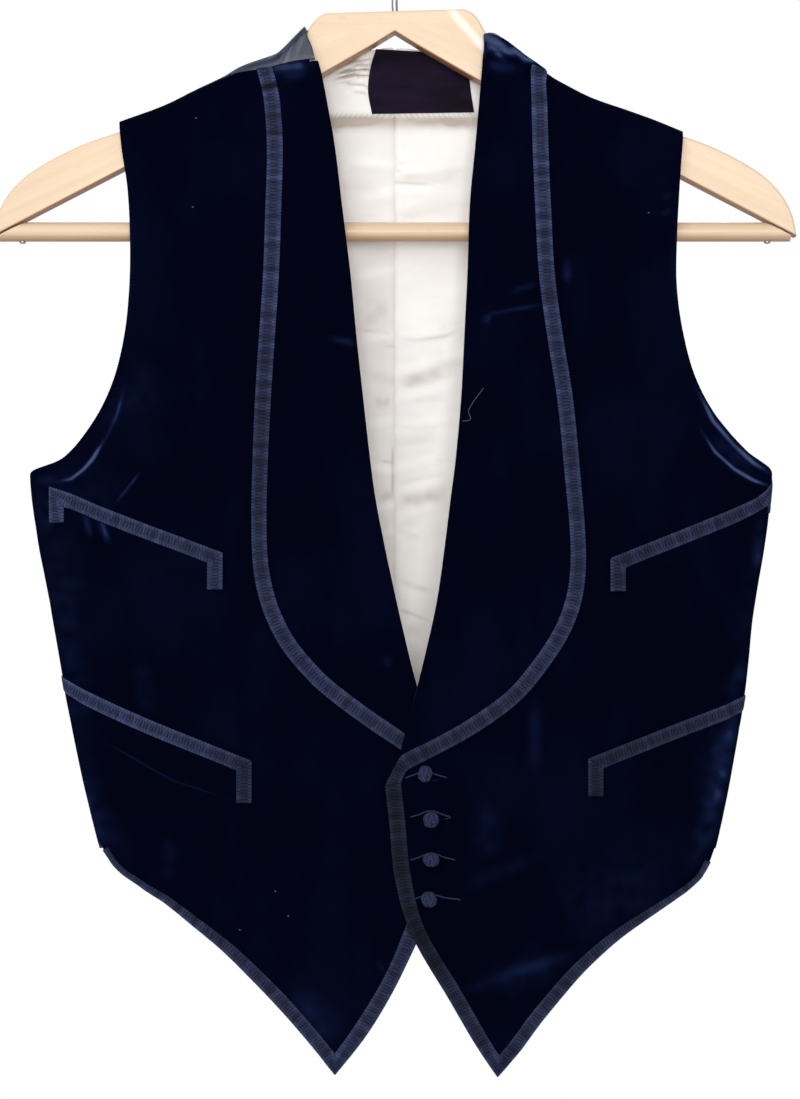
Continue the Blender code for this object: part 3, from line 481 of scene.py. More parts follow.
def tone_at(mark_lines, x, z):
    """How strong a set of marks is at a pattern place, from 0 up."""
    tone = 0.0
    streak = 0.85 + 0.8 * ripple(x, z, 17.0, 61.0)
    # Uneven break-up of the broad marks, for brushed pile and for painted sheen and shade alike.
    uneven = 0.8 + 0.9 * ripple(x, z, 7.0, 67.0)
    for nap_and_painted_light in mark_lines:
        off, left = off_line(nap_and_painted_light.line, x, z)
        if off < 2.6 * nap_and_painted_light.width:
            fade = 0.15 + 0.85 * ease(left, 0.0, 0.3)
            broken = streak if nap_and_painted_light.width < 3.0 else uneven
            tone += nap_and_painted_light.tone * fade * broken * math.exp(-(off / nap_and_painted_light.width) ** 2)
    return max(tone, 0.0)


def near_fine(mark_lines, x, z):
    """Whether a pattern place is close to a narrow mark."""
    return any(nap_and_painted_light.width <= FINE_MARK and off_line(nap_and_painted_light.line, x, z)[0] < 2.5 * nap_and_painted_light.width + 1.2 for nap_and_painted_light in mark_lines)


def fold_height(folds, x, z):
    """How far a set of folds lifts the cloth at a pattern place."""
    height = 0.0
    for fold in folds:
        run_x, run_z = fold.x1 - fold.x0, fold.z1 - fold.z0
        length = math.hypot(run_x, run_z)
        along = ((x - fold.x0) * run_x + (z - fold.z0) * run_z) / length
        off = ((z - fold.z0) * run_x - (x - fold.x0) * run_z) / length
        if abs(off) < 3 * fold.width and -2 * fold.width < along < length + 2 * fold.width:
            fade = ease(along, -2 * fold.width, 0.25 * length) * (1 - ease(along, 0.6 * length,
                                                                         length + 2 * fold.width))
            height += fold.rise * fade * math.exp(-(off / fold.width) ** 2)
    return height


def ripple(x, z, size, seed):
    """Soft uneven waves of about one size, from -1 to 1."""
    return noise.noise(Vector((x / size, z / size, seed)))


# --------------------------------------------------------------------------------------- making cloth

CLOTH_PITCH = 2.0           # spacing of a panel's rows and columns
PLAIN_PITCH = 4.0           # and of the back's rows below this height, where it hangs plain
PLAIN_BELOW = -120.0
SEAM_SHOW = 0.05            # cloth stops this far from the middle of a seam


def through(points, counts):
    """A smooth path through pattern places, with counts[i] spans between place i and the next."""
    runs = [max((b - a).length, 1e-6) for a, b in zip(points, points[1:])]
    slopes = []
    for i in range(len(points)):
        low, high = max(i - 1, 0), min(i + 1, len(points) - 1)
        slopes.append((points[high] - points[low]) / sum(runs[low:high]))
    path = []
    for i, count in enumerate(counts):
        for step in range(count):
            t = step / count
            path.append(points[i] * ((1 + 2 * t) * (1 - t) ** 2) + points[i + 1] * (t * t * (3 - 2 * t))
                        + (slopes[i] * (t * (1 - t) ** 2) - slopes[i + 1] * (t * t * (1 - t))) * runs[i])
    path.append(points[-1])
    return path


def finer(rows, pitch, plain_pitch=None):
    """A pattern's rows with smooth rows put between them, no further apart than the pitch."""
    counts = []
    for upper, lower in zip(rows, rows[1:]):
        longest = max((b - a).length for a, b in zip(upper, lower))
        plain = plain_pitch and upper[0].y < PLAIN_BELOW
        counts.append(max(1, math.ceil(longest / (plain_pitch if plain else pitch))))
    columns = [through([row[i] for row in rows], counts) for i in range(len(rows[0]))]
    return [list(row) for row in zip(*columns)]


def course_ends(side, course):
    """Both ends of a course, the outer one at the side seam where the table leaves it open."""
    outer_x = course.outer_x
    if outer_x is None:
        outer_x = seam_x(side, course.outer_z) - SEAM_SHOW
    return Vector((outer_x, course.outer_z)), Vector((course.inner_x, course.inner_z))


def on_course(side, course, share):
    """The pattern place at a share of the way from a course's outer end to its inner end."""
    outer, inner = course_ends(side, course)
    x, z = outer.lerp(inner, share)
    sag = HEM_SAG_AT[side](share) * ease(course.bow, 8.0, 12.5) if course.bow else 0.0
    return Vector((x, z + 4 * share * (1 - share) * course.bow - sag))


def shares_across(length, pitch):
    """Shares of a course for its columns: close together round the side fold, then evenly spaced."""
    fold = SIDE_FOLD * math.pi / 2
    stops = [fold * i / 5 for i in range(6)]
    count = math.ceil((190.0 - fold) / pitch)
    stops += [fold + (length - fold) * (i + 1) / count for i in range(count)]
    return [stop / length for stop in stops]


def panel(side, courses, seam, shoulder_steps, pitch, tucks, neck_edge=None, plain_pitch=None):
    """Pattern places of a panel from its shoulder seam to its hem. A tuck keeps its inner edge back."""
    rows = []
    for course, tuck in zip(courses, tucks):
        outer, inner = course_ends(side, course)
        length = (inner - outer).length
        keep = 1 - tuck / length
        rows.append([on_course(side, course, share * keep) for share in shares_across(length, pitch)])
    tip, neck = SHOULDERS[side][-1].out, SHOULDERS[side][0].out + tucks[0]
    top = []
    shares = shares_across(tip - neck, pitch)
    for share in shares:
        x = tip + (neck - tip) * share
        top.append(Vector((x, seam(side, x))))
    low = [Vector(spot) for spot in rows[0]]
    between = [[start + (end - start).normalized() * SEAM_SHOW for start, end in zip(top, low)]]
    for step in shoulder_steps:
        between.append([start.lerp(end, step) for start, end in zip(top, low)])
        if neck_edge:
            lean = neck_edge(step) - between[-1][-1].x
            for spot, share in zip(between[-1], shares):
                spot.x += lean * share ** 4
    return finer(between + rows, pitch, plain_pitch)


def lay(side, face, pattern, out, relief=None):
    """Places for a pattern laid on the form, out from it, with its own relief."""
    rows = []
    for row in pattern:
        rows.append([place(side, face, x, z, out + (relief(x, z) if relief else 0.0)) for x, z in row])
    return rows


def pattern_uv(side, pattern):
    """The pattern itself as a UV map, in metres, the two sides apart."""
    return [[(SIDES[side] * spot[0] * METRE, spot[1] * METRE) for spot in row] for row in pattern]


def made_mesh(name, build):
    """A smooth mesh from a bmesh that is done with."""
    mesh = bpy.data.meshes.new(name)
    build.to_mesh(mesh)
    build.free()
    mesh.shade_smooth()
    return mesh


def add_piece(name, mesh, slot, replaced=None, look=None):
    """A piece in the finish of its slot, or in a look of its own, and the CAD node that it stands for."""
    piece = bpy.data.objects.new(name, mesh)
    mesh.materials.append(finish(look or slot))
    bpy.context.scene.collection.objects.link(piece)
    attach(piece, "root")
    if replaced:
        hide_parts(replaced)
    return piece


def ease_edges(piece, width, angle):
    """Bevel the edges of a piece that are sharper than an angle in degrees."""
    edge = piece.modifiers.new("Soft edge", "BEVEL")
    edge.width = width * METRE
    edge.segments = 2
    edge.limit_method = "ANGLE"
    edge.angle_limit = math.radians(angle)


def add_cloth(name, rows, uv, thickness, slot, replaced, inside=None, paint=None):
    """A cloth piece from rows of places: a grid, its UV map, its thickness inwards and soft edges.

    paint has an attribute's name, its value for a pattern place, and a test for places that need finer
    cloth to show it."""
    cloth = bmesh.new()
    across, down = len(rows[0]), len(rows)
    bmesh.ops.create_grid(cloth, x_segments=across - 1, y_segments=down - 1, size=1.0)
    cloth.verts.ensure_lookup_table()
    for index, vertex in enumerate(cloth.verts):
        vertex.co = rows[index // across][index % across] * METRE
    layer = cloth.loops.layers.uv.new("pattern")
    for face in cloth.faces:
        for loop in face.loops:
            index = loop.vert.index
            loop[layer].uv = uv[index // across][index % across]
    if paint:
        painted = cloth.verts.layers.float.new(paint.name)
        spots = {}
        for face in cloth.faces:
            for loop in face.loops:
                spots[loop.vert] = loop[layer].uv / METRE
        close = {vertex for vertex, spot in spots.items() if paint.fine(*spot)}
        faces = [face for face in cloth.faces if any(vertex in close for vertex in face.verts)]
        if faces:
            edges = list({edge for face in faces for edge in face.edges})
            bmesh.ops.subdivide_edges(cloth, edges=edges, cuts=paint.cuts, use_grid_fill=True)
        for face in cloth.faces:
            for loop in face.loops:
                spots[loop.vert] = loop[layer].uv / METRE
        for vertex in cloth.verts:
            vertex[painted] = paint.value(*spots[vertex])
    cloth.normal_update()
    outside = sum((face.normal * face.calc_area() for face in cloth.faces), Vector())
    middle = sum((vertex.co for vertex in cloth.verts), Vector()) / len(cloth.verts)
    if outside.y * middle.y < 0:
        bmesh.ops.reverse_faces(cloth, faces=cloth.faces[:])
    piece = add_piece(name, made_mesh(name, cloth), slot, replaced)
    wall = piece.modifiers.new("Thickness", "SOLIDIFY")
    wall.thickness = thickness * METRE
    wall.offset = -1.0
    if inside:
        piece.data.materials.append(finish(inside))
        wall.material_offset = 1
    ease_edges(piece, thickness * 0.32, 50)
    return piece


Paint = namedtuple("Paint", "name value fine cuts")


def mark_paint(name, side, mark_lines, base=None):
    """Paint for a set of marks on one side's pattern."""
    flip = SIDES[side]

    def value(u, v):
        return tone_at(mark_lines, flip * u, v) + (base(flip * u, v) if base else 0.0)

    def fine(u, v):
        return near_fine(mark_lines, flip * u, v)

    return Paint(name, value, fine, 3)


def declare_cut(pattern, run=Vector((1.0, 0.0))):
    """Work out the flat size that a piece was cut to, along its run and across, and its area; none is kept.
    """
    xs = [spot[0] * run.x + spot[1] * run.y for row in pattern for spot in row]
    zs = [spot[1] * run.x - spot[0] * run.y for row in pattern for spot in row]
    area = 0.0
    for upper, lower in zip(pattern, pattern[1:]):
        for a, b, c, d in zip(upper, upper[1:], lower[1:], lower):
            area += abs((c[0] - a[0]) * (d[1] - b[1]) - (d[0] - b[0]) * (c[1] - a[1])) / 2
    width, length = (max(xs) - min(xs)) * METRE, (max(zs) - min(zs)) * METRE
    area * METRE ** 2


# ------------------------------------------------------------------------------------ making materials

class Value:
    """A number's socket in a material, so that sums on it are written as sums."""

    def __init__(self, maker, socket):
        self.maker = maker
        self.socket = socket

    def math(self, operation, first, second=None):
        sockets = {0: first} if second is None else {0: first, 1: second}
        return self.maker.node("ShaderNodeMath", {"operation": operation}, sockets)

    def __add__(self, other):
        return self.math("ADD", self, other)

    def __radd__(self, other):
        return self.math("ADD", other, self)

    def __sub__(self, other):
        return self.math("SUBTRACT", self, other)

    def __rsub__(self, other):
        return self.math("SUBTRACT", other, self)

    def __mul__(self, other):
        return self.math("MULTIPLY", self, other)

    def __abs__(self):
        return self.math("ABSOLUTE", self)


class Finish:
    """A material in the making: its nodes, and the surface that they feed."""

    def __init__(self, name, constants):
        self.material = bpy.data.materials.new(name)
        self.material.use_nodes = True
        self.tree = self.material.node_tree
        self.surface = self.tree.nodes["Principled BSDF"]
        for socket, value in constants.items():
            self.feed(self.surface.inputs[socket], value)

    def feed(self, socket, value):
        if isinstance(value, Value):
            self.tree.links.new(value.socket, socket)
        elif socket.type == "RGBA":
            socket.default_value = (*value[:3], 1.0)
        else:
            socket.default_value = value

    def socket(self, sockets, key):
        if isinstance(key, int):
            return sockets[key]
        return next(s for s in sockets if key in (s.identifier, s.name) and s.enabled)

    def node(self, kind, settings=None, sockets=None, output=0):
        made = self.tree.nodes.new(kind)
        for name, value in (settings or {}).items():
            setattr(made, name, value)
        for key, value in (sockets or {}).items():
            self.feed(self.socket(made.inputs, key), value)
        return Value(self, self.socket(made.outputs, output))

    def uv(self, across=1.0, along=1.0):
        """The piece's own UV map, scaled."""
        base = self.node("ShaderNodeTexCoord", output="UV")
        return self.node("ShaderNodeMapping", {}, {"Vector": base, "Scale": (across, along, 1.0)})

    def object(self, scale=(1.0, 1.0, 1.0)):
        """Places in the object's own frame, scaled."""
        base = self.node("ShaderNodeTexCoord", output="Object")
        return self.node("ShaderNodeMapping", {}, {"Vector": base, "Scale": scale})

    def part(self, vector, axis):
        return self.node("ShaderNodeSeparateXYZ", {}, {"Vector": vector}, axis)

    def scale(self, colour, share):
        return self.node("ShaderNodeVectorMath", {"operation": "SCALE"}, {0: colour, "Scale": share})

    def attribute(self, name):
        return self.node("ShaderNodeAttribute", {"attribute_name": name}, output="Fac")

    def noise(self, vector, scale, detail=2.0, rough=0.5):
        return self.node("ShaderNodeTexNoise", {}, {"Vector": vector, "Scale": scale, "Detail": detail,
                                                    "Roughness": rough}, "Fac")

    def ramp(self, value, *stops):
        """A value passed through two stops of (position, value)."""
        made = self.tree.nodes.new("ShaderNodeValToRGB")
        for element, (position, level) in zip(made.color_ramp.elements, stops):
            element.position = position
            element.color = (level, level, level, 1.0)
        self.feed(made.inputs["Fac"], value)
        return Value(self, made.outputs["Color"])

    def mix(self, share, first, second):
        return self.node("ShaderNodeMix", {"data_type": "RGBA"},
                         {"Factor_Float": share, "A_Color": first, "B_Color": second}, "Result_Color")

    def bump(self, height, depth, strength=1.0, under=None):
        sockets = {"Height": height, "Distance": depth, "Strength": strength}
        if under:
            sockets["Normal"] = under
        return self.node("ShaderNodeBump", {}, sockets, "Normal")

    def finish(self, sockets):
        for key, value in sockets.items():
            self.feed(self.surface.inputs[key], value)
        return self.material


def make_velvet(look):
    """Cotton velvet: short pile that reads near black face on, paler where it is brushed or crushed, and
    paler still where sheen at the sides and highlights on ridges and crumples are painted on.
    """
    f = Finish("velvet", {"Roughness": 0.95, "Specular IOR Level": 0.015, "Sheen Weight": 0.010,
                          "Sheen Roughness": 0.30, "Sheen Tint": (0.35, 0.5, 1.0)})
    uv = f.uv()
    broad = f.noise(uv, 9.0, 3.0, 0.55)
    patch = f.noise(f.uv(1.0, 0.45), 38.0, 3.0, 0.6)
    pile = f.noise(uv, 1100.0, 2.0, 0.7)
    brushed = f.ramp(broad * 0.6 + patch * 0.4, (0.46, 0.0), (0.72, 0.075))
    # The paint: brushed and crushed pile, painted sheen at the sides, and painted highlights on ridges.
    level = brushed + f.attribute("nap_and_painted_light") * (0.75 + pile * 0.5)
    colour = f.mix(f.ramp(level, (0.0, 0.0), (0.42, 1.0)), look.velvet_dark, look.velvet_blue)
    colour = f.mix(f.ramp(level, (0.32, 0.0), (1.0, 1.0)), colour, look.velvet_crush_and_highlight)
    colour = f.mix(f.ramp(pile, (0.5, 0.0), (0.85, 0.10)), colour, look.velvet_blue)
    bump = f.bump(pile, 0.0004, 0.4, f.bump(patch, 0.0015, 0.35))
    return f.finish({"Base Color": colour, "Normal": bump})


def make_braid(look):
    """Flat braid: close ribs across it, paler at both selvedges, in light and dark stretches, and scaled by
    the painted light and shade of each braid.
    """
    f = Finish("braid", {"Roughness": 0.7, "Specular IOR Level": 0.10, "Sheen Weight": 0.03,
                         "Sheen Tint": (0.5, 0.55, 0.9)})
    rib = f.node("ShaderNodeTexWave", {"wave_type": "BANDS", "bands_direction": "Y"},
                 {"Vector": f.uv(), "Scale": 180.0, "Distortion": 1.5, "Detail": 2.0,
                  "Detail Scale": 2.0}, "Fac")
    fine = f.noise(f.uv(0.5, 1.0), 1000.0, 2.0, 0.6)
    stretch = f.noise(f.uv(0.25, 1.0), 330.0, 2.0, 0.6)
    shade = f.ramp(stretch * 0.45 + fine * 0.35 + rib * 0.2, (0.34, 0.0), (0.68, 1.0))
    middle = f.ramp(abs(f.part(f.uv(), "X") - 0.0042) * 200.0, (0.30, 1.0), (0.66, 0.0))
    ticks = f.ramp(rib * 0.55 + f.noise(f.uv(0.1, 1.0), 420.0, 2.0, 0.6) * 0.8, (0.58, 0.0), (0.76, 1.0))
    # Scaled by each braid's painted light and shade.
    light = f.attribute("light") * (1.15 - middle * ticks * 0.85)
    colour = f.scale(f.mix(shade, look.braid_dark, look.braid_light), light)
    bump = f.bump(rib, 0.0004, 0.45, f.bump(fine, 0.0003, 0.4))
    return f.finish({"Base Color": colour, "Normal": bump})


def make_satin(look):
    """Grey-navy satin with soft streaks along the cloth, and painted highlights where it is pulled over the
    shoulders and where it is crumpled.
    """
    f = Finish("satin", {"Roughness": 0.36, "Specular IOR Level": 0.35})
    streak = f.noise(f.uv(1.0, 0.12), 120.0, 3.0, 0.6)
    weave = f.noise(f.uv(1.0, 0.3), 2200.0, 1.0, 0.5)
    colour = f.mix(f.ramp(streak, (0.3, 0.0), (0.7, 0.7)), look.satin_dark, look.satin_light)
    # Painted highlights along the shoulders' crest and on crumpled satin.
    colour = f.mix(f.attribute("pulled_and_shining"), colour, look.satin_shine)
    bump = f.bump(weave, 0.0002, 0.35, f.bump(streak, 0.0008, 0.3))
    return f.finish({"Base Color": colour, "Normal": bump})


def make_lining(look):
    """Cream sateen, faintly creased all over, with painted shade in its creases, in its folds and under its
    seams.
    """
    f = Finish("lining", {"Roughness": 0.55, "Specular IOR Level": 0.20})
    crease = f.noise(f.uv(0.35, 1.0), 60.0, 3.0, 0.6)
    weave = f.noise(f.uv(1.0, 0.3), 1800.0, 1.0, 0.5)
    # Painted shade in faint creases all over.
    colour = f.mix(f.ramp(crease, (0.35, 0.0), (0.65, 1.0)), look.lining_shade, look.lining)
    # Deeper painted shade from the lining's paint.
    colour = f.mix(f.attribute("depth"), colour, look.lining_fold_shade)
    bump = f.bump(weave, 0.0002, 0.25, f.bump(crease, 0.0012, 0.4))
    return f.finish({"Base Color": colour, "Normal": bump})


def make_patch(look):
    """Dark plum satin of the neck patch, in soft bands."""
    f = Finish("patch", {"Roughness": 0.6, "Specular IOR Level": 0.06})
    band = f.noise(f.uv(0.25, 1.0), 90.0, 2.0, 0.5)
    weave = f.noise(f.uv(1.0, 0.3), 2000.0, 1.0, 0.5)
    colour = f.mix(f.ramp(band, (0.35, 0.0), (0.65, 1.0)), look.patch, look.patch_band)
    return f.finish({"Base Color": colour, "Normal": f.bump(weave, 0.0002, 0.35)})


def make_cord(look):
    """Close-wound cord of the knots and the worked buttonholes."""
    f = Finish("cord", {"Roughness": 0.65, "Specular IOR Level": 0.12})
    twist = f.node("ShaderNodeTexWave", {"wave_type": "BANDS", "bands_direction": "DIAGONAL"},
                   {"Vector": f.object(), "Scale": 420.0, "Distortion": 1.5, "Detail": 1.0}, "Fac")
    colour = f.mix(twist, look.braid_dark, look.braid_light)
    return f.finish({"Base Color": colour, "Normal": f.bump(twist, 0.0003, 0.6)})


def make_thread(look):
    """Pale twisted thread and fluff."""
    f = Finish("thread", {"Roughness": 0.8, "Specular IOR Level": 0.1})
    fluff = f.noise(f.object(), 2500.0, 2.0, 0.6)
    return f.finish({"Base Color": f.mix(fluff, look.braid_light, look.satin_shine)})


# A painted highlight along the rounded edge of the head's shoulder on the wearer's left.
EDGE_SHINE_X, EDGE_SHINE_DROP = 0.0305, 0.0584      # a place on the line of a painted highlight along the board's edge, in metres
EDGE_SHINE_ACROSS = (0.743, 0.669)            # the direction across that edge


def make_wood(look):
    """Pale varnished wood: faint long grain and short dark flecks, with a painted highlight along one edge
    of the head and painted shade on its underside.
    """
    f = Finish("wood", {"Roughness": 0.38, "Coat Weight": 0.25, "Coat Roughness": 0.2,
                        "Specular IOR Level": 0.3})
    grain = f.noise(f.uv(6.0, 160.0), 1.0, 4.0, 0.6)
    fleck = f.noise(f.uv(120.0, 900.0), 1.0, 1.0, 0.5)
    flecks = f.ramp(fleck, (0.68, 0.0), (0.76, 1.0))
    colour = f.mix(f.ramp(grain, (0.3, 0.0), (0.7, 1.0)), look.wood, look.wood_grain)
    colour = f.mix(flecks * 0.3, colour, tuple(c * 0.6 for c in look.wood_grain))
    # A painted highlight along the rounded edge of the head's shoulder on the wearer's left.
    x, z = f.part(f.object(), "X"), f.part(f.object(), "Z")
    across = abs((x - EDGE_SHINE_X) * EDGE_SHINE_ACROSS[0] + (z + EDGE_SHINE_DROP) * EDGE_SHINE_ACROSS[1])
    beyond = f.ramp(x * 10.0, (0.27, 0.0), (0.33, 1.0))
    streak = f.ramp(across * 100.0 + fleck * 0.1, (0.15, 1.0), (0.36, 0.0))
    colour = f.mix(streak * beyond * 0.8, colour, look.wood_edge_shine)
    # Painted shade on the underside, from the wood's paint.
    colour = f.mix(f.attribute("under"), colour, look.wood_underside_shade)
    return f.finish({"Base Color": colour, "Normal": f.bump(fleck, 0.0002, 0.12)})


def make_steel(look):
    """Plated wire, faintly drawn along its length."""
    f = Finish("steel", {"Metallic": 1.0})
    drawn = f.noise(f.object(), 900.0, 2.0, 0.6)
    colour = f.mix(drawn, look.steel, tuple(c * 0.75 for c in look.steel))
    return f.finish({"Base Color": colour, "Roughness": 0.2 + drawn * 0.15})


FINISHES = {"velvet": make_velvet, "braid": make_braid, "satin": make_satin, "lining": make_lining,
            "patch": make_patch, "cord": make_cord, "thread": make_thread, "wood": make_wood,
            "steel": make_steel}


def finish(name):
    """A finish by name, made when a piece first asks for it."""
    known = bpy.data.materials.get(f"{name}_cloth")
    if known:
        return known
    made = FINISHES[name](bpy.context.scene.waistcoat_look)
    made.name = f"{name}_cloth"
    return made


# ------------------------------------------------------------------------------------------ settings

def colour_setting(name, description, default):
    return bpy.props.FloatVectorProperty(name=name, description=description, default=default, size=3,
                                         min=0.0, max=1.0, subtype="COLOR")


class WaistcoatLook(bpy.types.PropertyGroup):
    """Colours of the cloth, the trim and the hanger."""
    velvet_dark: colour_setting("Velvet", "Velvet seen along its pile", (0.0004, 0.0008, 0.0060))
    # Brushed velvet, and also the colour of painted sheen where the fronts turn away at the sides.
    velvet_blue: colour_setting("Velvet, brushed", "Velvet brushed against its pile",
                                (0.0050, 0.0105, 0.0450))
    # Crushed velvet, and also the colour of painted highlights on ridges, crumples and the collar's rolled
    # edge.
    velvet_crush_and_highlight: colour_setting("Velvet, crushed", "Velvet where its pile is crushed",
                                 (0.048, 0.068, 0.150))
    braid_dark: colour_setting("Braid, hollows", "Braid in its darker stretches", (0.0080, 0.0130, 0.044))
    braid_light: colour_setting("Braid, ribs", "Braid in its paler stretches", (0.036, 0.045, 0.095))
    satin_dark: colour_setting("Satin, dark", "Darker streaks of the satin back", (0.007, 0.011, 0.026))
    satin_light: colour_setting("Satin, light", "Paler streaks of the satin back", (0.034, 0.046, 0.090))
    # The colour of painted highlights on the satin. The thread and lint also use it for their pale fibres.
    satin_shine: colour_setting("Satin, pulled", "Satin where it is pulled or crushed",
                                (0.130, 0.150, 0.215))
    lining: colour_setting("Lining", "Sateen lining", (0.96, 0.94, 0.91))
    lining_shade: colour_setting("Lining, creases", "Sateen in its creases", (0.91, 0.88, 0.86))
    # The colour of the painted shade in the lining's folds and under its seams.
    lining_fold_shade: colour_setting("Lining, folds", "Sateen deep in its folds", (0.47, 0.40, 0.35))
    patch: colour_setting("Neck patch", "Plum satin patch", (0.0040, 0.0014, 0.0065))
    patch_band: colour_setting("Neck patch, bands", "Paler bands of the patch", (0.0125, 0.0055, 0.0220))
    wood: colour_setting("Wood", "Varnished wood", (0.85, 0.665, 0.475))
    wood_grain: colour_setting("Wood, grain", "Grain of the wood", (0.76, 0.555, 0.365))
    # The colour of a painted highlight along an edge of the head.
    wood_edge_shine: colour_setting("Wood, worn", "Varnish rubbed pale along an edge", (1.0, 0.93, 0.80))
    # The colour of painted shade on the wood's underside.
    wood_underside_shade: colour_setting("Wood, underside", "Unsanded underside of the wood", (0.42, 0.20, 0.10))
    steel: colour_setting("Steel", "Plated wire and screws", (0.62, 0.62, 0.64))
    floor: colour_setting("Floor", "Studio floor", (0.80, 0.80, 0.80))


def length_setting(name, description, default, low, high):
    return bpy.props.FloatProperty(name=name, description=description, default=default, min=low, max=high,
                                   unit="LENGTH", precision=4)


class WaistcoatSizes(bpy.types.PropertyGroup):
    """Sizes that a maker would change."""
    velvet: length_setting("Front thickness", "Velvet with its interlining and lining", 0.0020, 0.0008,
                           0.0024)
    collar: length_setting("Collar thickness", "Folded velvet of the collar", 0.0014, 0.0006, 0.0018)
    braid: length_setting("Braid thickness", "Flat braid", 0.0009, 0.0003, 0.0012)
    satin: length_setting("Back thickness", "Satin with its interlining", 0.0018, 0.0006, 0.0020)
    lining: length_setting("Lining thickness", "Sateen lining", 0.0008, 0.0003, 0.0010)
    button: length_setting("Button radius", "Cord-covered knot", 0.0042, 0.0030, 0.0046)
    wire: length_setting("Hook wire radius", "Wire of the hook", 0.0018, 0.0012, 0.0020)
    drop: length_setting("Floor below hem", "Height of the hem above the floor", 0.30, 0.05, 1.5)


class Maker:
    """What every operator of the waistcoat shares."""
    bl_options = {"REGISTER", "UNDO"}

    def execute(self, context):
        self.make(context.scene.waistcoat_sizes)
        return {"FINISHED"}


# ------------------------------------------------------------------------------------------- the braid

BRAID_COLUMNS = 9
BRAID_PITCH = 1.3           # spacing of its rows
SEWN_GAP = 0.2              # between a piece that is sewn on and what it lies on
# Each braid's painted light and shade from its start to its end: share of its length, brightness, and how
# strongly its lighter and darker stretches differ. The braid is the same throughout, so the brightness
# stands for how much light each stretch of it catches.
Tone = namedtuple("Tone", "share level contrast")
BRAID_PAINTED_LIGHT = {
    "collar_right": table(
        Tone, (0, 0.85, 0.85), (0.25, 1.1, 0.5), (0.5, 0.72, 0.4), (0.7, 0.95, 0.35), (0.9, 0.95, 0.3),
        (1, 0.7, 0.3),
    ),
    "collar_left": table(
        Tone, (0, 1.35, 0.4), (0.25, 1.1, 0.35), (0.5, 0.95, 0.3), (0.75, 0.9, 0.3), (1, 0.5, 0.3),
    ),
    "edge_right": table(
        Tone, (0, 0.8, 0.3), (0.3, 0.9, 0.3), (1, 0.9, 0.4),
    ),
    "edge_left": table(
        Tone, (0, 0.34, 0.35), (0.3, 0.28, 0.35), (0.42, 0.72, 0.3), (0.55, 0.8, 0.3), (1, 0.8, 0.35),
    ),
    "upper_right": table(
        Tone, (0, 1.25, 0.25), (1, 1, 0.25),
    ),
    "lower_right": table(
        Tone, (0, 1.45, 0.25), (0.8, 1.1, 0.25), (1, 0.55, 0.25),
    ),
    "upper_left": table(
        Tone, (0, 0.95, 0.3), (1, 0.75, 0.3),
    ),
    "lower_left": table(
        Tone, (0, 0.9, 0.3), (0.6, 0.55, 0.3), (1, 0.5, 0.3),
    ),
}


def block(travelled, seed):
    """Light and dark stretches along a braid, a few millimetres long, from -1 to 1.

    They are painted light for the braid's waves, which face towards the light and away from it.
    """
    return min(max(2.6 * ripple(travelled, 0.0, 4.2, seed), -1.0), 1.0)


def ribbon(name, side, edges, out, thickness, tones, replaced=None):
    """Flat braid between two pattern lines, given as pairs of places, with a low round across it."""
    outer = [Vector(pair[0]) for pair in edges]
    inner = [Vector(pair[1]) for pair in edges]
    counts = [max(1, math.ceil(max((b - a).length, (d - c).length) / BRAID_PITCH))
              for a, b, c, d in zip(outer, outer[1:], inner, inner[1:])]
    outer, inner = through(outer, counts), through(inner, counts)
    middles = [a.lerp(b, 0.5) for a, b in zip(outer, inner)]
    gone = [0.0]
    for here, there in zip(middles, middles[1:]):
        gone.append(gone[-1] + (there - here).length)
    rows, uv = [], []
    for i, (a, b) in enumerate(zip(outer, inner)):
        run = (middles[min(i + 1, len(middles) - 1)] - middles[max(i - 1, 0)]).normalized()
        row, maps = [], []
        for j in range(BRAID_COLUMNS):
            share = j / (BRAID_COLUMNS - 1)
            spot = a.lerp(b, share)
            ahead = gone[i] + (spot - middles[i]).dot(run)
            proud = 0.22 * (1 - (2 * share - 1) ** 4) + 0.2 * ripple(ahead, 7 * share, 5.0, 5.0)
            row.append(place(side, "front", *spot, out(*spot) + proud))
            maps.append((share * (b - a).length * METRE, ahead * METRE))
        rows.append(row)
        uv.append(maps)
    level, contrast = Smooth(tones, "level"), Smooth(tones, "contrast")
    seed = len(name) + gone[-1] % 7
    wide = (outer[0] - inner[0]).length

    # The braid's painted light and shade along its length and in its stretches, with paler selvedges.
    def value(u, v):
        share = v / gone[-1]
        rim = max(0.22 * (1 - min(u, abs(wide - u)) / 1.6), 0.0)
        return max(level(share) * (1 + contrast(share) * block(v, seed) + rim), 0.02)

    paint = Paint("light", value, lambda u, v: False, 1)
    return add_cloth(name, rows, uv, thickness, "braid", replaced, paint=paint)


HEM_BRAID_END = 0.05        # share of the hem, from the side seam, at which its braid ends


def hem_braid(away):
    """Width of the hem's braid, at a share of the way from the point to the side seam."""
    return EDGE_BRAID_WIDTH - 4.2 * ease(away, 0.2, 0.95)


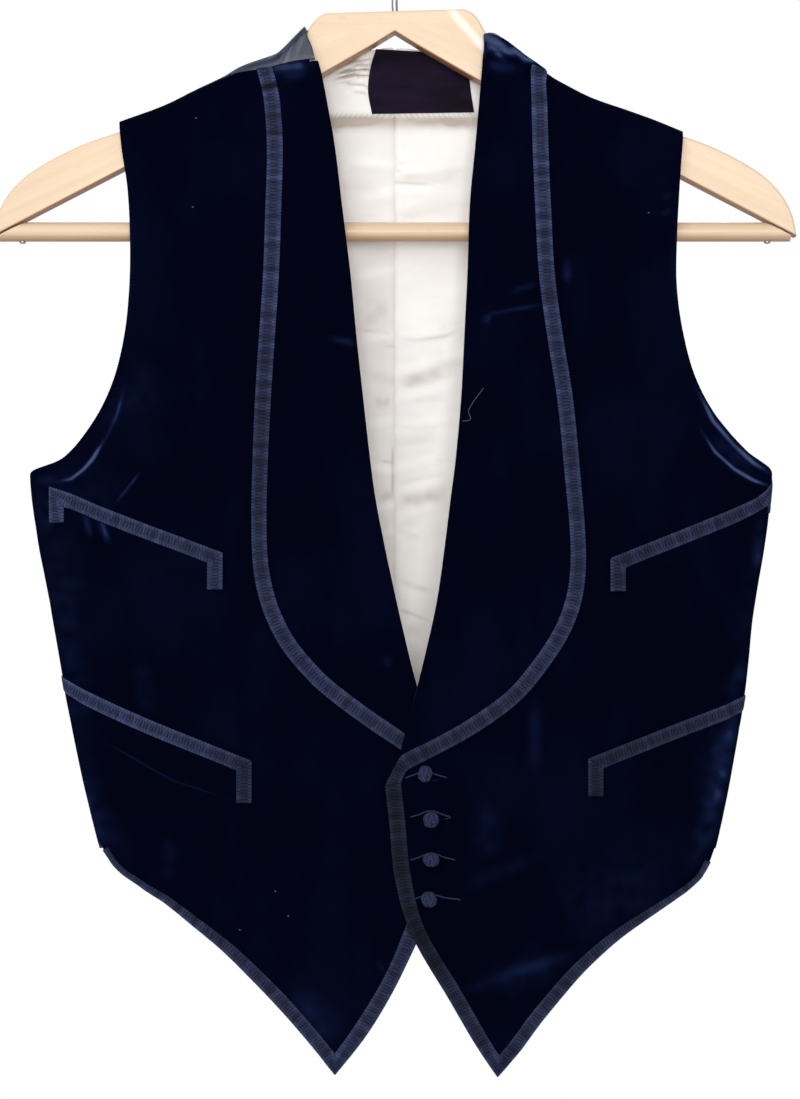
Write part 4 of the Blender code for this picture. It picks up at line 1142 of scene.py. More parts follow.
def edge_braid_line(side):
    """Pairs of places down the front edge, round the point, and along the hem to the side seam."""
    courses = FRONT[side]
    first = [course.inner_z for course in courses].index(EDGE_BRAID_TOP[side])
    pairs = []
    for course in courses[first:-2]:
        outer, inner = course_ends(side, course)
        width = BRAID_WIDTH if course.inner_z > -560 else EDGE_BRAID_WIDTH
        pairs.append((on_course(side, course, 1.0),
                      on_course(side, course, 1 - width / (inner - outer).length)))
    hem = courses[-1]
    corner = hem_braid(0.0)
    length = (course_ends(side, hem)[1] - course_ends(side, hem)[0]).length
    tip = on_course(side, hem, 1.0)
    up_edge = (pairs[-1][0] - tip).normalized()
    along_hem = (on_course(side, hem, 0.95) - tip).normalized()
    inside = tip + (up_edge + along_hem) * (corner / abs(up_edge.cross(along_hem)))
    for lean in (up_edge, along_hem):
        pairs += [(tip + lean * 0.6, inside + lean * 0.4)]
    start = 1 - (inside - tip).dot(along_hem) / length - 0.01
    for i in range(26):
        share = HEM_BRAID_END + (start - HEM_BRAID_END) * (1 - i / 25)
        foot = on_course(side, hem, share)
        run = on_course(side, hem, share + 0.01) - on_course(side, hem, max(share - 0.01, 0.0))
        up = Vector((run.y, -run.x)).normalized()
        pairs.append((foot, foot + up * hem_braid(1 - share)))
    return pairs


# ------------------------------------------------------------------------------------------ the cloth

NECK_TUCK = 3.4             # how far a front stops short of the neck edge, inside the collar's roll
ROLL = 2.0                  # radius of the collar's rolled edge
FRONT_STEPS = (0.2, 0.42, 0.7)
BACK_STEPS = (0.22, 0.36, 0.5, 0.64, 0.78, 0.9)


FRONT_SEED = {"left": 3.0, "right": 11.0}
TUCK_FOOT = {"left": EDGE_BRAID_TOP["left"] + 20, "right": -455.0}   # the neck edge is tucked above here


def front_pattern(side):
    tucks = [NECK_TUCK if course.inner_z > TUCK_FOOT[side] else 0.0 for course in FRONT[side]]
    return panel(side, FRONT[side], over_front, FRONT_STEPS, CLOTH_PITCH, tucks)


def front_relief(side):
    """The front's gentle unevenness and its creases."""
    seed = FRONT_SEED[side]
    folds = FRONT_FOLDS[side]

    def relief(x, z):
        return (0.45 * ripple(x, z, 46.0, seed) + 0.16 * ripple(x, z, 15.0, seed + 2) - 0.1
                + fold_height(folds, x, z))
    return relief


def nap_and_painted_light(side):
    """The paint of a velvet piece: brushed and crushed pile, painted sheen at its sides and painted
    highlights.
    """
    return mark_paint("nap_and_painted_light", side, NAP_AND_PAINTED_LIGHT[side])


class MakeFronts(Maker, bpy.types.Operator):
    """Add the two velvet fronts, with flat braid down their edges, round the points and along the hems"""
    bl_idname = "waistcoat.make_fronts"
    bl_label = "Fronts"

    def make(self, sizes):
        thick = sizes.braid / METRE
        for side in SIDES:
            pattern = front_pattern(side)
            relief = front_relief(side)
            rows = lay(side, "front", pattern, 0.0, relief)
            front = add_cloth(f"front_{side}_cloth", rows, pattern_uv(side, pattern),
                              sizes.velvet / METRE, "velvet", f"front_{side}", inside="lining",
                              paint=nap_and_painted_light(side))

            def out(x, z):
                return SEWN_GAP + thick + relief(x, z)

            tape = ribbon(f"braid_edge_{side}_tape", side, edge_braid_line(side), out, thick,
                          BRAID_PAINTED_LIGHT[f"edge_{side}"], f"braid_edge_{side}")
            declare_cut(pattern)


COLLAR_STEPS = 26
ROLL_STEPS = 7
TURN_IN = 6.0               # how far the collar goes on behind the front, past its roll


class MakeCollars(Maker, bpy.types.Operator):
    """Add the shawl collar, rolled over the edge of the neck opening, with braid round its outer edge"""
    bl_idname = "waistcoat.make_collars"
    bl_label = "Collar"

    def make(self, sizes):
        for side in SIDES:
            out = SEWN_GAP + sizes.collar / METRE
            relief = front_relief(side)
            pattern = []
            for course in COLLARS[side]:
                outer, inner = course_ends(side, course)
                keep = 1 - min(ROLL / (inner - outer).length, 0.5)
                pattern.append([on_course(side, course, keep * i / COLLAR_STEPS)
                                for i in range(COLLAR_STEPS + 1)])
            seam = [Vector((spot.x, over_front(side, spot.x) - 0.3)) for spot in pattern[0]]
            if min(end.y - spot.y for end, spot in zip(seam, pattern[0])) > 1.0:
                pattern.insert(0, seam)
            rows, uv = [], []
            for row in finer(pattern, CLOTH_PITCH):
                places, maps = self.rolled(side, row, out, relief)
                rows.append(places)
                uv.append(maps)
            collar = add_cloth(f"collar_{side}_cloth", rows, pattern_uv(side, uv), sizes.collar / METRE,
                               "velvet", f"collar_{side}", paint=nap_and_painted_light(side))
            tape = self.braid(side, sizes, relief)
            declare_cut(uv)

    def rolled(self, side, row, out, relief):
        """A row of the collar, carried round the roll at the neck edge to the inside of the front."""
        places = [place(side, "front", x, z, out + relief(x, z)) for x, z in row]
        maps = [Vector(spot) for spot in row]
        end, inwards = row[-1], (row[-1] - row[-2]).normalized()
        centre = out - ROLL + relief(*end)
        for i in range(1, ROLL_STEPS + 1):
            turn = math.pi * i / ROLL_STEPS
            x, z = end + inwards * ROLL * math.sin(turn)
            places.append(place(side, "front", x, z, centre + ROLL * math.cos(turn)))
            maps.append(end + inwards * ROLL * turn)
        x, z = end - inwards * TURN_IN
        places.append(place(side, "front", x, z, centre - ROLL))
        maps.append(end + inwards * (ROLL * math.pi + TURN_IN))
        return places, maps

    def braid(self, side, sizes, relief):
        """The braid round the collar's outer edge. The left one turns down the front below it."""
        thick = sizes.braid / METRE
        on_front = SEWN_GAP + thick
        on_collar = on_front + SEWN_GAP + sizes.collar / METRE
        edge = []
        for course in COLLARS[side]:
            outer, inner = course_ends(side, course)
            share = min(BRAID_WIDTH / (inner - outer).length, 0.8)
            edge.append((on_course(side, course, 0.0), on_course(side, course, share)))
        if side == "left":
            edge.append(tuple(Vector(spot) for spot in BREAK_TURN))
            joint = next(course for course in FRONT[side] if course.inner_z == EDGE_BRAID_TOP[side])
            outer, inner = course_ends(side, joint)
            share = 1 - BRAID_WIDTH / (inner - outer).length
            edge.append(tuple(on_course(side, joint, at) + Vector((0.0, 0.2)) for at in (share, 1.0)))
        turn_z = COLLARS[side][-1].inner_z

        def out(x, z):
            down = ease(-z, -turn_z, -turn_z + 16.0) if side == "left" else 0.0
            return on_collar + (on_front - on_collar) * down + relief(x, z)

        return ribbon(f"braid_collar_{side}_tape", side, edge, out, thick, BRAID_PAINTED_LIGHT[f"collar_{side}"],
                      f"braid_collar_{side}")


# ------------------------------------------------------------------------------------------ the pockets

WELT_THICKNESS = 1.2
WELT_CLEARANCE = 0.8        # from a welt's end to the side seam
WELT_STEPS = (7, 8)         # along it and down it


def along(points, distance):
    """The place at a distance along a line of places."""
    for start, end in zip(points, points[1:]):
        span = (Vector(end) - Vector(start)).length
        if distance <= span or end == points[-1]:
            return Vector(start) + (Vector(end) - Vector(start)) / span * distance
        distance -= span


def short_of_seam(side, spot):
    """A pattern place kept short of the side seam."""
    return Vector((min(spot[0], seam_x(side, spot[1]) - WELT_CLEARANCE), spot[1]))


def welt_stand(side, x, z):
    """How far a welt stands off the front: less and less towards the side seam, where it is caught."""
    half = HALF[side](z)
    return 1.0 - 0.85 * ease(x, half - 12.0, half)


def welt_strips(welt, stops):
    """Pairs of places for each strip of braid on a welt: its top, and a leg down each braided end.

    The strips meet in mitres, so the legs' upper ends slope."""
    down = Vector((0.0, -WELT_BRAID))
    first, last = stops[0], stops[-1]
    run = (last - stops[-2]).normalized()
    start = (stops[1] - first).normalized()
    inner_last = last + Vector((WELT_BRAID, -WELT_BRAID * 1.03 + run.y / run.x * WELT_BRAID))
    inner_first = first + Vector((-WELT_BRAID, -WELT_BRAID * 1.03 - start.y / start.x * WELT_BRAID))
    top = [(stop, stop + down) for stop in stops[1:-1]]
    top = [pair for pair in top if pair[1].x > inner_last.x + 1.0
           and (not welt.side_leg or pair[1].x < inner_first.x - 1.0)]
    top.append((last, inner_last))
    top.insert(0, (first, inner_first) if welt.side_leg else (first, first + down))
    foot = last.y - welt.height
    strips = {"top": top, "front": [(last, inner_last), (Vector((last.x, foot)),
                                                         Vector((inner_last.x, foot)))]}
    if welt.side_leg:
        foot = first.y - welt.height
        strips["side"] = [(first, inner_first), (Vector((first.x, foot)), Vector((inner_first.x, foot)))]
    return strips


class MakePockets(Maker, bpy.types.Operator):
    """Add the four welts with their braid"""
    bl_idname = "waistcoat.make_pockets"
    bl_label = "Pockets"

    def make(self, sizes):
        thick = sizes.braid / METRE
        for name, welt in WELTS.items():
            side = name.split("_")[1]
            relief = front_relief(side)
            length = sum((Vector(b) - Vector(a)).length for a, b in zip(welt.top, welt.top[1:]))
            steps, down = WELT_STEPS
            stops = [along(welt.top, length * i / steps) for i in range(steps + 1)]
            rows = []
            for stop in stops:
                foot = stop + Vector((0.0, -welt.height))
                rows.append([short_of_seam(side, stop.lerp(foot, i / down)) for i in range(down + 1)])
            pattern = finer(rows, CLOTH_PITCH)
            places = []
            for row in pattern:
                top = row[0].y
                places.append([place(side, "front", x, z, relief(x, z) + welt_stand(side, x, z)
                                     * (1.5 - 1.1 * ease((top - z) / welt.height, 0.55, 1.0)))
                               for x, z in row])
            piece = add_cloth(f"welt_{name}_cloth", places, pattern_uv(side, pattern), WELT_THICKNESS,
                              "velvet", f"welt_{name}", paint=nap_and_painted_light(side))
            for part, strip in welt_strips(welt, stops).items():
                edges = [tuple(short_of_seam(side, spot) for spot in pair) for pair in strip]
                tones = BRAID_PAINTED_LIGHT[name]
                if part != "top":
                    end = tones[0] if part == "side" else tones[-1]
                    tones = [end._replace(share=0.0), end._replace(share=1.0)]
                ribbon(f"braid_welt_{name}_{part}", side, edges,
                                    lambda x, z: (0.1 + (1.6 + thick) * welt_stand(side, x, z)
                                                  + relief(x, z)), thick, tones,
                                    f"braid_welt_{name}" if part == "top" else None)
            declare_cut(pattern,
                        run=(stops[0] - stops[-1]).normalized())


# ------------------------------------------------------------------------------- buttons and buttonholes

KNOT_CORD = 0.27            # radius of a knot's cord, as a share of the button's
KNOT_FLAT = 0.85            # a button's depth, as a share of its width
KNOT_TURNS = 5
KNOT_STEPS = 260
BUTTONHOLE_CORD = 0.38      # radius of the cord that edges a buttonhole
BUTTONHOLE_HALF = 1.2       # half of its opening
BUTTONHOLE_STEPS = 56
THREAD_RADIUS = 0.16
THREAD_PROUD = 1.7          # how far the loose thread lies out from the front
LINT_RADIUS = 0.42


def sweep(name, route, radius, closed):
    """Round cord along a route of places in metres, made a mesh."""
    curve = bpy.data.curves.new(name, "CURVE")
    curve.dimensions = "3D"
    curve.bevel_depth = radius
    curve.bevel_resolution = 3
    curve.use_fill_caps = not closed
    line = curve.splines.new("POLY")
    line.points.add(len(route) - 1)
    for point, stop in zip(line.points, route):
        point.co = (*stop, 1.0)
    line.use_cyclic_u = closed
    cord = bpy.data.objects.new(name, curve)
    bpy.context.scene.collection.objects.link(cord)
    mesh = bpy.data.meshes.new_from_object(cord.evaluated_get(bpy.context.evaluated_depsgraph_get()))
    mesh.name = name
    bpy.data.objects.remove(cord)
    mesh.materials.clear()
    mesh.shade_smooth()
    return mesh


class MakeButtons(Maker, bpy.types.Operator):
    """Add the knot buttons and the worked buttonholes"""
    bl_idname = "waistcoat.make_buttons"
    bl_label = "Buttons"

    def make(self, sizes):
        radius = sizes.button
        cord = radius * KNOT_CORD
        for number, (x, z) in enumerate(BUTTONS, start=1):
            seat = place("left", "front", x, z, radius / METRE * KNOT_FLAT + 0.4) * METRE
            route = []
            for i in range(KNOT_STEPS):
                t = 2 * math.pi * i / KNOT_STEPS
                wind = t * KNOT_TURNS
                pitch = math.pi / 2 * 0.96 * math.sin(wind)
                lay_on = radius - cord * (1.0 + 0.35 * math.cos(wind * 2 + number))
                spin = t * 3 + number
                route.append(seat + Vector((lay_on * math.cos(pitch) * math.cos(spin),
                                            KNOT_FLAT * lay_on * math.cos(pitch) * math.sin(spin),
                                            lay_on * math.sin(pitch))))
            knot = sweep(f"button_{number}_knot", route, cord, True)
            core = bmesh.new()
            core.from_mesh(knot)
            ball = bmesh.ops.create_uvsphere(core, u_segments=20, v_segments=12, radius=radius - cord * 0.9)
            bmesh.ops.scale(core, vec=Vector((1.0, KNOT_FLAT, 1.0)), verts=ball["verts"])
            bmesh.ops.translate(core, vec=seat, verts=ball["verts"])
            core.to_mesh(knot)
            core.free()
            knot.shade_smooth()
            add_piece(f"button_{number}_knot", knot, "button", f"button_{number}", look="cord")
            self.buttonhole(number)
        self.bits()

    def buttonhole(self, number):
        """The worked edge of one buttonhole: a narrow loop whose upper lip is pushed up by the knot."""
        near, far, z, arch = BUTTONHOLES[number - 1]
        route = []
        for i in range(BUTTONHOLE_STEPS):
            turn = 2 * math.pi * i / BUTTONHOLE_STEPS
            x = (near + far) / 2 - (far - near) / 2 * math.cos(turn)
            opening = BUTTONHOLE_HALF + 0.12 * ripple(x, z, 3.0, 71.0)
            push = arch * math.exp(-((x - BUTTONS[number - 1][0]) / 6.0) ** 2)
            up = math.sin(turn) * (opening + (push if math.sin(turn) > 0 else 0.25 * push))
            proud = 0.35 if math.sin(turn) > 0 else -0.5
            route.append(place("left", "front", x, z + up, proud) * METRE)
        edge = sweep(f"buttonhole_{number}_edge", route, BUTTONHOLE_CORD * METRE, True)
        add_piece(f"buttonhole_{number}_edge", edge, "button", look="cord")

    def bits(self):
        """A loose end of thread, and lint caught in the pile."""
        stops = [Vector(spot) for spot in THREAD]
        route = [place("left", "front", x, z, THREAD_PROUD) * METRE
                 for x, z in through(stops, [8, 8, 6])]
        thread = sweep("loose_thread", route, THREAD_RADIUS * METRE, False)
        add_piece("loose_thread", thread, "braid", look="thread")
        mesh = bpy.data.meshes.new("lint")
        lint = bmesh.new()
        for side, x, z in LINT:
            on_collar = x < 80 and z > -440
            speck = bmesh.ops.create_icosphere(lint, subdivisions=2, radius=LINT_RADIUS * METRE)
            bmesh.ops.scale(lint, vec=Vector((1.3, 0.5, 0.8)), verts=speck["verts"])
            bmesh.ops.translate(lint, verts=speck["verts"],
                                vec=place(side, "front", x, z, 1.9 if on_collar else 0.5) * METRE)
        lint.to_mesh(mesh)
        lint.free()
        add_piece("lint", mesh, "braid", look="thread")


# -------------------------------------------------------------------------------- the back and the lining

BACK_SEED = {"left": 21.0, "right": 27.0}
LINING_SEED = {"left": 31.0, "right": 37.0}
LINING_MARGIN = 7.0         # how far the lining stops short of the armholes and side seams
LINING_HEM = 4.0            # and of the hem
LINING_LIP = 1.4            # how far it puckers over the neckline
LINING_DEPTH = 3.1
LINING_PITCH = 1.9
LINING_NEAR = 50.0          # the columns are close up to here
YOKE_SEAM = -113.4          # height of the lining's seam across, under the neck patch
PATCH_THICKNESS = 0.5
PATCH_PITCH = 1.6
PATCH_STEPS = 40
PATCH_PROUD = 2.2           # from the lining's outer face to the patch
YOKE_LAP = 1.2              # how far the cloth above that seam stands over the cloth below it


def lining_columns(length):
    """Distances of a lining course's columns from its inner end: close near the centre seam."""
    near = [LINING_NEAR * i / 40 for i in range(40)]
    return near + [LINING_NEAR + (length - LINING_NEAR) * i / 30 for i in range(31)]


def lining_shade_at(side, x, z):
    """Painted shade on the lining at a pattern place: in its folds, under the yoke seam, along the centre
    seam, over its right half and lower down.
    """
    sunk = -fold_height(LINING_FOLDS[side], x, z) * 0.25
    under = math.exp(-((YOKE_SEAM - 3.0 - z) / 4.0) ** 2) * (1 - ease(z, YOKE_SEAM - 0.6, YOKE_SEAM + 0.6))
    under *= 0.95 + 0.3 * ripple(x, z, 6.0, 91.0)
    seam = 0.16 * math.exp(-(x / 1.2) ** 2)
    if side == "right":
        shaded = 0.15 + 0.09 * ease(-z, 140.0, 215.0) - 0.05 * ease(-z, 235.0, 275.0)
        lower = 0.09 * ease(-z, 300.0, 350.0)
    else:
        shaded = 0.015
        lower = 0.10 * ease(-z, 265.0, 335.0) - 0.07 * ease(-z, 340.0, 380.0)
    return max(sunk + under + seam + shaded + lower, 0.0)


class MakeBack(Maker, bpy.types.Operator):
    """Add the satin back, in two halves that come over the shoulders"""
    bl_idname = "waistcoat.make_back"
    bl_label = "Back"

    def make(self, sizes):
        for side in SIDES:
            seed = BACK_SEED[side]

            def relief(x, z):
                seam = -0.5 * math.exp(-(x / 2.2) ** 2)
                return 0.4 * ripple(x, z, 42.0, seed) + 0.2 * ripple(x, z * 0.5, 14.0, seed) + seam

            pattern = panel(side, BACK, over_back, BACK_STEPS, CLOTH_PITCH, [0.0] * len(BACK),
                            NECK_EDGE[side], PLAIN_PITCH)
            rows = lay(side, "back", pattern, 0.0, relief)

            # Painted highlights: a line along the crest where the back turns over the hanger, stronger on
            # the wearer's left, and glints on crumpled satin near the shoulders.
            def shine(x, z):
                below = over_back(side, min(x, SHOULDERS[side][-1].out)) - z
                ridge = math.exp(-((below - 1.6) / 1.1) ** 2) if below < 6 else 0.0
                crushed = max(ripple(x * 0.4, z, 3.2, seed + 5) * 1.6 - 0.15, 0.0)
                crushed *= 1 - ease(below, 14.0, 26.0)
                return 0.45 * ridge * (1.0 if side == "left" else 0.5) + 0.55 * crushed

            back = add_cloth(f"back_{side}_cloth", rows, pattern_uv(side, pattern), sizes.satin / METRE,
                             "satin", f"back_{side}", paint=mark_paint("pulled_and_shining", side, (), shine))
            declare_cut(pattern)


class MakeLining(Maker, bpy.types.Operator):
    """Add the back's lining and the patch below its neckline"""
    bl_idname = "waistcoat.make_lining"
    bl_label = "Lining"

    def make(self, sizes):
        for side in SIDES:
            folds = LINING_FOLDS[side]
            seed = LINING_SEED[side]

            def relief(x, z):
                seam = 0.5 * math.exp(-(x / 1.6) ** 2)
                lap = YOKE_LAP * ease(z, YOKE_SEAM - 0.8, YOKE_SEAM + 0.8) * (1 - ease(z, -96.0, -84.0))
                crumple = 0.35 * ripple(x * 0.5, z, 16.0, seed) + 0.25 * ripple(x, z, 6.0, seed + 1)
                return min(seam - lap - fold_height(folds, x, z) - crumple, 0.6)

            rows = []
            for course in BACK:
                outer, inner = course_ends(side, course)
                length = (inner - outer).length - LINING_MARGIN
                rows.append([on_course(side, course, 1 - stop / (inner - outer).length)
                             for stop in lining_columns(length)])
            for i, spot in enumerate(rows[0]):
                spot.y += LINING_LIP * (0.6 + 0.5 * ripple(spot.x, 0.0, 5.0, seed))
            rows[-1] = [spot + Vector((0.0, LINING_HEM)) for spot in rows[-1]]
            pattern = finer(rows, LINING_PITCH)
            laid = lay(side, "back", pattern, -LINING_DEPTH, relief)
            # Painted shade on the lining.
            shade = mark_paint("depth", side, SHADE[side], lambda x, z: lining_shade_at(side, x, z))
            piece = add_cloth(f"lining_back_{side}_cloth", laid, pattern_uv(side, pattern),
                              sizes.lining / METRE, "lining", f"lining_back_{side}", paint=shade)
            declare_cut(pattern)
        self.make_patch()

    def make_patch(self):
        """The dark patch that lies over the centre seam, under the neckline."""
        inside = -(LINING_DEPTH + PATCH_PROUD)
        pattern = finer([[on_course("left", course, i / PATCH_STEPS) for i in range(PATCH_STEPS + 1)]
                         for course in PATCH], PATCH_PITCH)
        rows = []
        for row in pattern:
            rows.append([place("left" if x >= 0 else "right", "back", abs(x), z,
                               inside - 0.35 * ripple(x * 0.4, z, 7.0, 44.0)) for x, z in row])
        uv = [[(x * METRE, z * METRE) for x, z in row] for row in pattern]
        patch = add_cloth("neck_patch_cloth", rows, uv, PATCH_THICKNESS, "patch", "neck_patch")
        declare_cut(pattern)


# ------------------------------------------------------------------------------------------- the hanger

WOOD = 12.0                 # thickness of the board
WOOD_EASE = 2.4             # and the radius of its edges
ARM_PITCH = 3.0
ARM_SLOPE = 0.47
BAR_RADIUS = 5.3
BAR_HEIGHT = -179.8
BAR_END = 218.5
SCREW_X = 206.0
SCREW_RADIUS = 1.9
SCREW_FLAT = 0.55
HOOK_RADIUS = 20.0
HOOK_FOOT_ANGLE = -52.0     # the hook's round runs from here to its tip
HOOK_TIP_ANGLE = 205.0
HOOK_STEPS = 64
HEAD_TOP = -59.5
HEAD_FOOT = -66.0           # the sawn outline above here, and less out along the arms, is its top edge
HEAD_TILT = 0.030           # how far the head's top slopes, up to the wearer's left
HOOK_STEM_TOP = -50.0


def grain_uv(board, slope):
    """A UV map in metres whose u runs along the grain: out along each arm, on a slope."""
    layer = board.loops.layers.uv.new("grain")
    run = math.atan(slope)
    for face in board.faces:
        for loop in face.loops:
            x, y, z = loop.vert.co
            lean = run if x < 0 else -run
            loop[layer].uv = (x * math.cos(lean) + z * math.sin(lean),
                              z * math.cos(lean) - x * math.sin(lean) + y * 1.7)


class MakeHanger(Maker, bpy.types.Operator):
    """Add the hanger's board, its trouser bar and the bar's screws"""
    bl_idname = "waistcoat.make_hanger"
    bl_label = "Hanger"

    def make(self, sizes):
        self.make_board()
        self.make_bar()
        self.make_screws()

    def make_board(self):
        """The head and both arms, sawn from one board and eased round."""
        top = [Vector(spot) for spot in ARM_TOP]
        counts = [max(1, math.ceil((b - a).length / ARM_PITCH)) for a, b in zip(top, top[1:])]
        under = [Vector(spot) for spot in ARM_UNDER]
        half = through(top, counts) + [start.lerp(end, i / 12) for start, end in zip(under, under[1:])
                                       for i in range(12)] + under[-1:]
        outline = half + [Vector((-spot.x, spot.y)) for spot in reversed(half[:-1])]
        for spot in outline:
            if spot.y > HEAD_FOOT - 0.6 * abs(spot.x):
                spot.y += 0.8 + HEAD_TILT * spot.x * (1 - ease(abs(spot.x), 46.0, 64.0))
        board = bmesh.new()
        corners = [board.verts.new(Vector((x, -WOOD / 2, z)) * METRE) for x, z in outline]
        sawn = board.faces.new(corners)
        thick = bmesh.ops.extrude_face_region(board, geom=[sawn])
        moved = [item for item in thick["geom"] if isinstance(item, bmesh.types.BMVert)]
        bmesh.ops.translate(board, verts=moved, vec=Vector((0.0, WOOD * METRE, 0.0)))
        bmesh.ops.recalc_face_normals(board, faces=board.faces[:])
        rims = [edge for edge in board.edges if abs(edge.verts[0].co.y - edge.verts[1].co.y) < 1e-6]
        bmesh.ops.bevel(board, geom=rims, offset=WOOD_EASE * METRE, offset_type="OFFSET", segments=5,
                        profile=0.5, affect="EDGES", material=-1, clamp_overlap=True)
        grain_uv(board, ARM_SLOPE)
        board.normal_update()
        # Paint for painted shade on the board's downward faces.
        under = board.verts.layers.float.new("under")
        for vertex in board.verts:
            vertex[under] = ease(-vertex.normal.z, 0.25, 0.70)
        piece = add_piece("hanger_board", made_mesh("hanger_board", board), "wood", "hanger_body")
        piece.modifiers.new("Even shading", "WEIGHTED_NORMAL").keep_sharp = True

    def make_bar(self):
        """The trouser bar, sawn off at both ends on the slope of the arms' ends."""
        bar = bmesh.new()
        bmesh.ops.create_cone(bar, cap_ends=True, segments=48, radius1=BAR_RADIUS * METRE,
                              radius2=BAR_RADIUS * METRE, depth=2 * BAR_END * METRE)
        for vertex in bar.verts:
            x, y, z = vertex.co
            vertex.co = Vector((z, y, -x + BAR_HEIGHT * METRE))
        (tip_x, tip_z), (under_x, under_z) = ARM_TOP[-1], ARM_UNDER[0]
        for side in SIDES.values():
            run = Vector((side * (tip_x - under_x), 0.0, tip_z - under_z)).normalized()
            normal = Vector((-run.z, 0.0, run.x)) * side
            point = Vector((side * under_x, 0.0, under_z)) - normal * 0.2
            cut = bmesh.ops.bisect_plane(bar, geom=bar.verts[:] + bar.edges[:] + bar.faces[:],
                                         plane_co=point * METRE, plane_no=normal, clear_outer=True)
            rim = [item for item in cut["geom_cut"] if isinstance(item, bmesh.types.BMEdge)]
            bmesh.ops.holes_fill(bar, edges=rim)
        bmesh.ops.recalc_face_normals(bar, faces=bar.faces[:])
        grain_uv(bar, 0.0)
        bar.normal_update()
        # Paint for painted shade on the bar, deepest underneath.
        under = bar.verts.layers.float.new("under")
        for vertex in bar.verts:
            vertex[under] = 0.12 + 0.75 * ease(-vertex.normal.z, -0.1, 1.0)
        piece = add_piece("hanger_bar_round", made_mesh("hanger_bar_round", bar), "wood", "hanger_bar")
        ease_edges(piece, 0.3, 28)
        piece.modifiers.new("Even shading", "WEIGHTED_NORMAL").keep_sharp = True

    def make_screws(self):
        """The low round heads under the bar."""
        for name, side in SIDES.items():
            head = bmesh.new()
            bmesh.ops.create_uvsphere(head, u_segments=24, v_segments=12, radius=SCREW_RADIUS * METRE)
            bmesh.ops.scale(head, vec=Vector((1.0, 1.0, SCREW_FLAT)), verts=head.verts)
            below = BAR_HEIGHT - BAR_RADIUS - 0.3
            bmesh.ops.translate(head, verts=head.verts, vec=Vector((side * SCREW_X, 0.0, below)) * METRE)
            screw = made_mesh(f"hanger_screw_{name}_head", head)
            add_piece(f"hanger_screw_{name}_head", screw, "steel", f"hanger_screw_{name}")


class MakeHook(Maker, bpy.types.Operator):
    """Add the wire hook"""
    bl_idname = "waistcoat.make_hook"
    bl_label = "Hook"

    def make(self, sizes):
        radius = HOOK_RADIUS + sizes.wire / METRE
        stem = [Vector((0.0, 0.0, HEAD_TOP + 0.4)), Vector((0.0, 0.0, HOOK_STEM_TOP)),
                Vector((1.6, 0.0, HOOK_STEM_TOP + 4.5)), Vector((6.6, 0.0, HOOK_STEM_TOP + 8.4))]
        round_part = []
        for i in range(HOOK_STEPS + 1):
            angle = math.radians(HOOK_FOOT_ANGLE + (HOOK_TIP_ANGLE - HOOK_FOOT_ANGLE) * i / HOOK_STEPS)
            round_part.append(Vector((radius * math.cos(angle), 0.0,
                                      radius * math.sin(angle) - HOOK_RADIUS)))
        route = through(stem + round_part[:1], [4, 8, 8, 8])[:-1] + round_part
        wire = sweep("hanger_hook_wire", [stop * METRE for stop in route], sizes.wire, False)
        add_piece("hanger_hook_wire", wire, "steel", "hanger_hook")


# ------------------------------------------------------------------------------------------- the stage

FLOOR_RADIUS = 1.2
CAMERA_PLACE = (0.0028, -1.300, -0.3555)
CAMERA_LENS = 76.94         # focal length, in millimetres, on a sensor this wide
CAMERA_SENSOR = 36.0
LIT_POINT = (0.0, 0.0, -0.32)
SKY_LIGHT = 0.42            # how strongly the white surroundings light the object
LIGHTS = (("key", (-0.9, -1.6, 0.9), 1.2, 15.0), ("front", (0.1, -2.2, -0.1), 1.0, 24.0),
          ("back", (0.5, 2.2, 0.5), 1.4, 16.0))


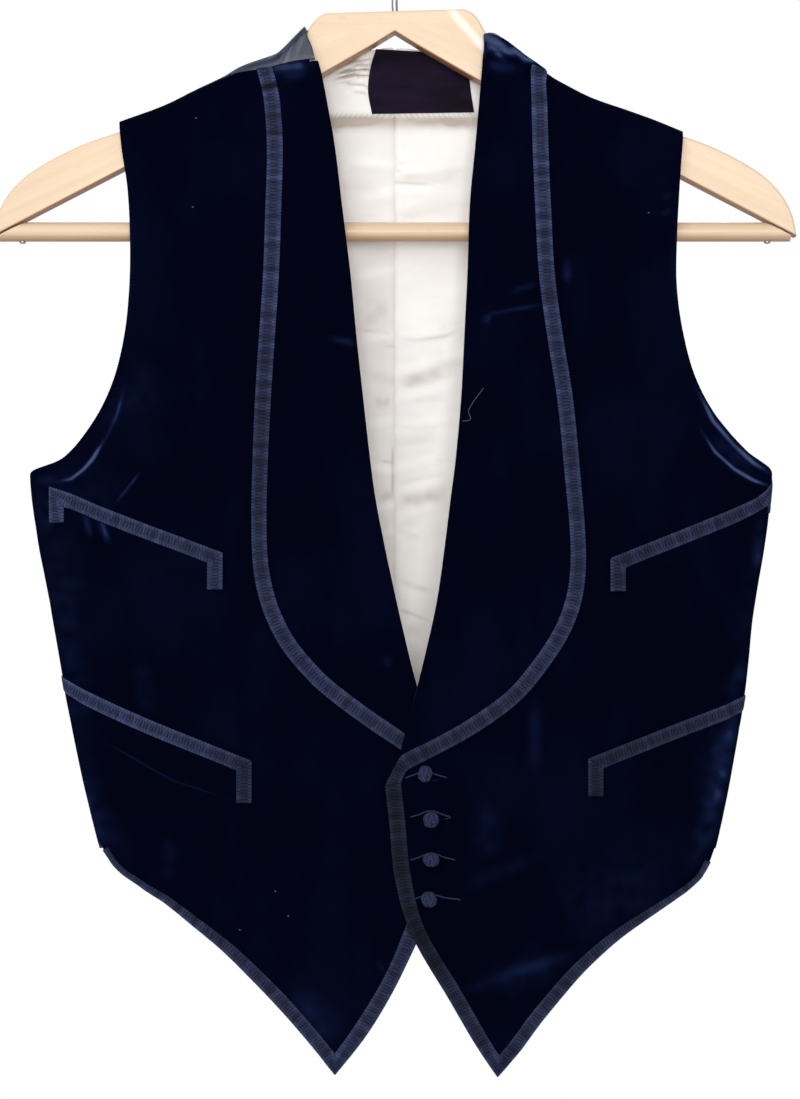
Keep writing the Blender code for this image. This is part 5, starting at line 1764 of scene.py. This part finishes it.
class MakeStage(Maker, bpy.types.Operator):
    """Add the floor, the soft studio light and the camera"""
    bl_idname = "waistcoat.make_stage"
    bl_label = "Stage"

    def make(self, sizes):
        scene = bpy.context.scene
        look = scene.waistcoat_look
        floor_z = CAD_BOX[0][2] - sizes.drop
        mesh = bpy.data.meshes.new("floor")
        disc = bmesh.new()
        bmesh.ops.create_circle(disc, cap_ends=True, segments=96, radius=FLOOR_RADIUS)
        bmesh.ops.translate(disc, verts=disc.verts, vec=Vector((0.0, 0.0, floor_z)))
        disc.to_mesh(mesh)
        disc.free()
        f = Finish("floor", {"Roughness": 0.9, "Specular IOR Level": 0.1})
        ground = f.object((1.0, 1.0, 0.0))
        away = f.node("ShaderNodeVectorMath", {"operation": "LENGTH"}, {0: ground}, "Value")
        speckle = f.noise(ground, 400.0, 2.0, 0.5)
        f.finish({"Base Color": f.mix(speckle * 0.1, look.floor, (0.7, 0.7, 0.7)),
                  "Alpha": f.ramp(away * (1.0 / FLOOR_RADIUS), (0.42, 1.0), (0.98, 0.0))})
        mesh.materials.append(f.material)
        floor = bpy.data.objects.new("floor", mesh)
        scene.collection.objects.link(floor)
        self.light_it(scene)
        self.aim_camera(scene)

    def light_it(self, scene):
        """White surroundings, seen brighter than they light, and three soft lamps."""
        world = bpy.data.worlds.new("studio")
        world.use_nodes = True
        nodes, links = world.node_tree.nodes, world.node_tree.links
        sky = nodes["Background"]
        sky.inputs["Color"].default_value = (1.0, 1.0, 1.0, 1.0)
        seen = nodes.new("ShaderNodeLightPath")
        level = nodes.new("ShaderNodeMapRange")
        level.inputs["To Min"].default_value = SKY_LIGHT
        links.new(seen.outputs["Is Camera Ray"], level.inputs["Value"])
        links.new(level.outputs["Result"], sky.inputs["Strength"])
        scene.world = world
        scene.view_settings.view_transform = "Standard"
        for name, spot, size, power in LIGHTS:
            data = bpy.data.lights.new(name, "AREA")
            data.energy = power
            data.size = size
            lamp = bpy.data.objects.new(name, data)
            lamp.location = spot
            aim = Vector(LIT_POINT) - Vector(spot)
            lamp.rotation_euler = aim.to_track_quat("-Z", "Y").to_euler()
            scene.collection.objects.link(lamp)

    def aim_camera(self, scene):
        """The camera, level, in front of the object."""
        data = bpy.data.cameras.new("camera")
        data.lens = CAMERA_LENS
        data.sensor_width = CAMERA_SENSOR
        camera = bpy.data.objects.new("camera", data)
        camera.location = CAMERA_PLACE
        camera.rotation_euler = (math.pi / 2, 0.0, 0.0)
        scene.collection.objects.link(camera)
        scene.camera = camera


# --------------------------------------------------------------------------------------------- the add-on

MAKERS = (MakeFronts, MakeCollars, MakePockets, MakeButtons, MakeBack, MakeLining, MakeHanger,
          MakeHook, MakeStage)


class WAISTCOAT_PT_pieces(bpy.types.Panel):
    """Buttons that add each group of pieces, and the settings that they read"""
    bl_label = "Waistcoat"
    bl_space_type = "VIEW_3D"
    bl_region_type = "UI"
    bl_category = "Waistcoat"

    def draw(self, context):
        for maker in MAKERS:
            self.layout.operator(maker.bl_idname)
        for group in (context.scene.waistcoat_sizes, context.scene.waistcoat_look):
            box = self.layout.box()
            for name in group.bl_rna.properties.keys():
                if name not in ("rna_type", "name"):
                    box.prop(group, name)


CLASSES = (WaistcoatLook, WaistcoatSizes, *MAKERS, WAISTCOAT_PT_pieces)


def register():
    for cls in CLASSES:
        bpy.utils.register_class(cls)
    bpy.types.Scene.waistcoat_look = bpy.props.PointerProperty(type=WaistcoatLook)
    bpy.types.Scene.waistcoat_sizes = bpy.props.PointerProperty(type=WaistcoatSizes)


def unregister():
    del bpy.types.Scene.waistcoat_sizes
    del bpy.types.Scene.waistcoat_look
    for cls in reversed(CLASSES):
        bpy.utils.unregister_class(cls)


def main():
    register()
    for maker in MAKERS:
        group, name = maker.bl_idname.split(".")
        getattr(getattr(bpy.ops, group), name)()


if __name__ == "__main__":
    main()
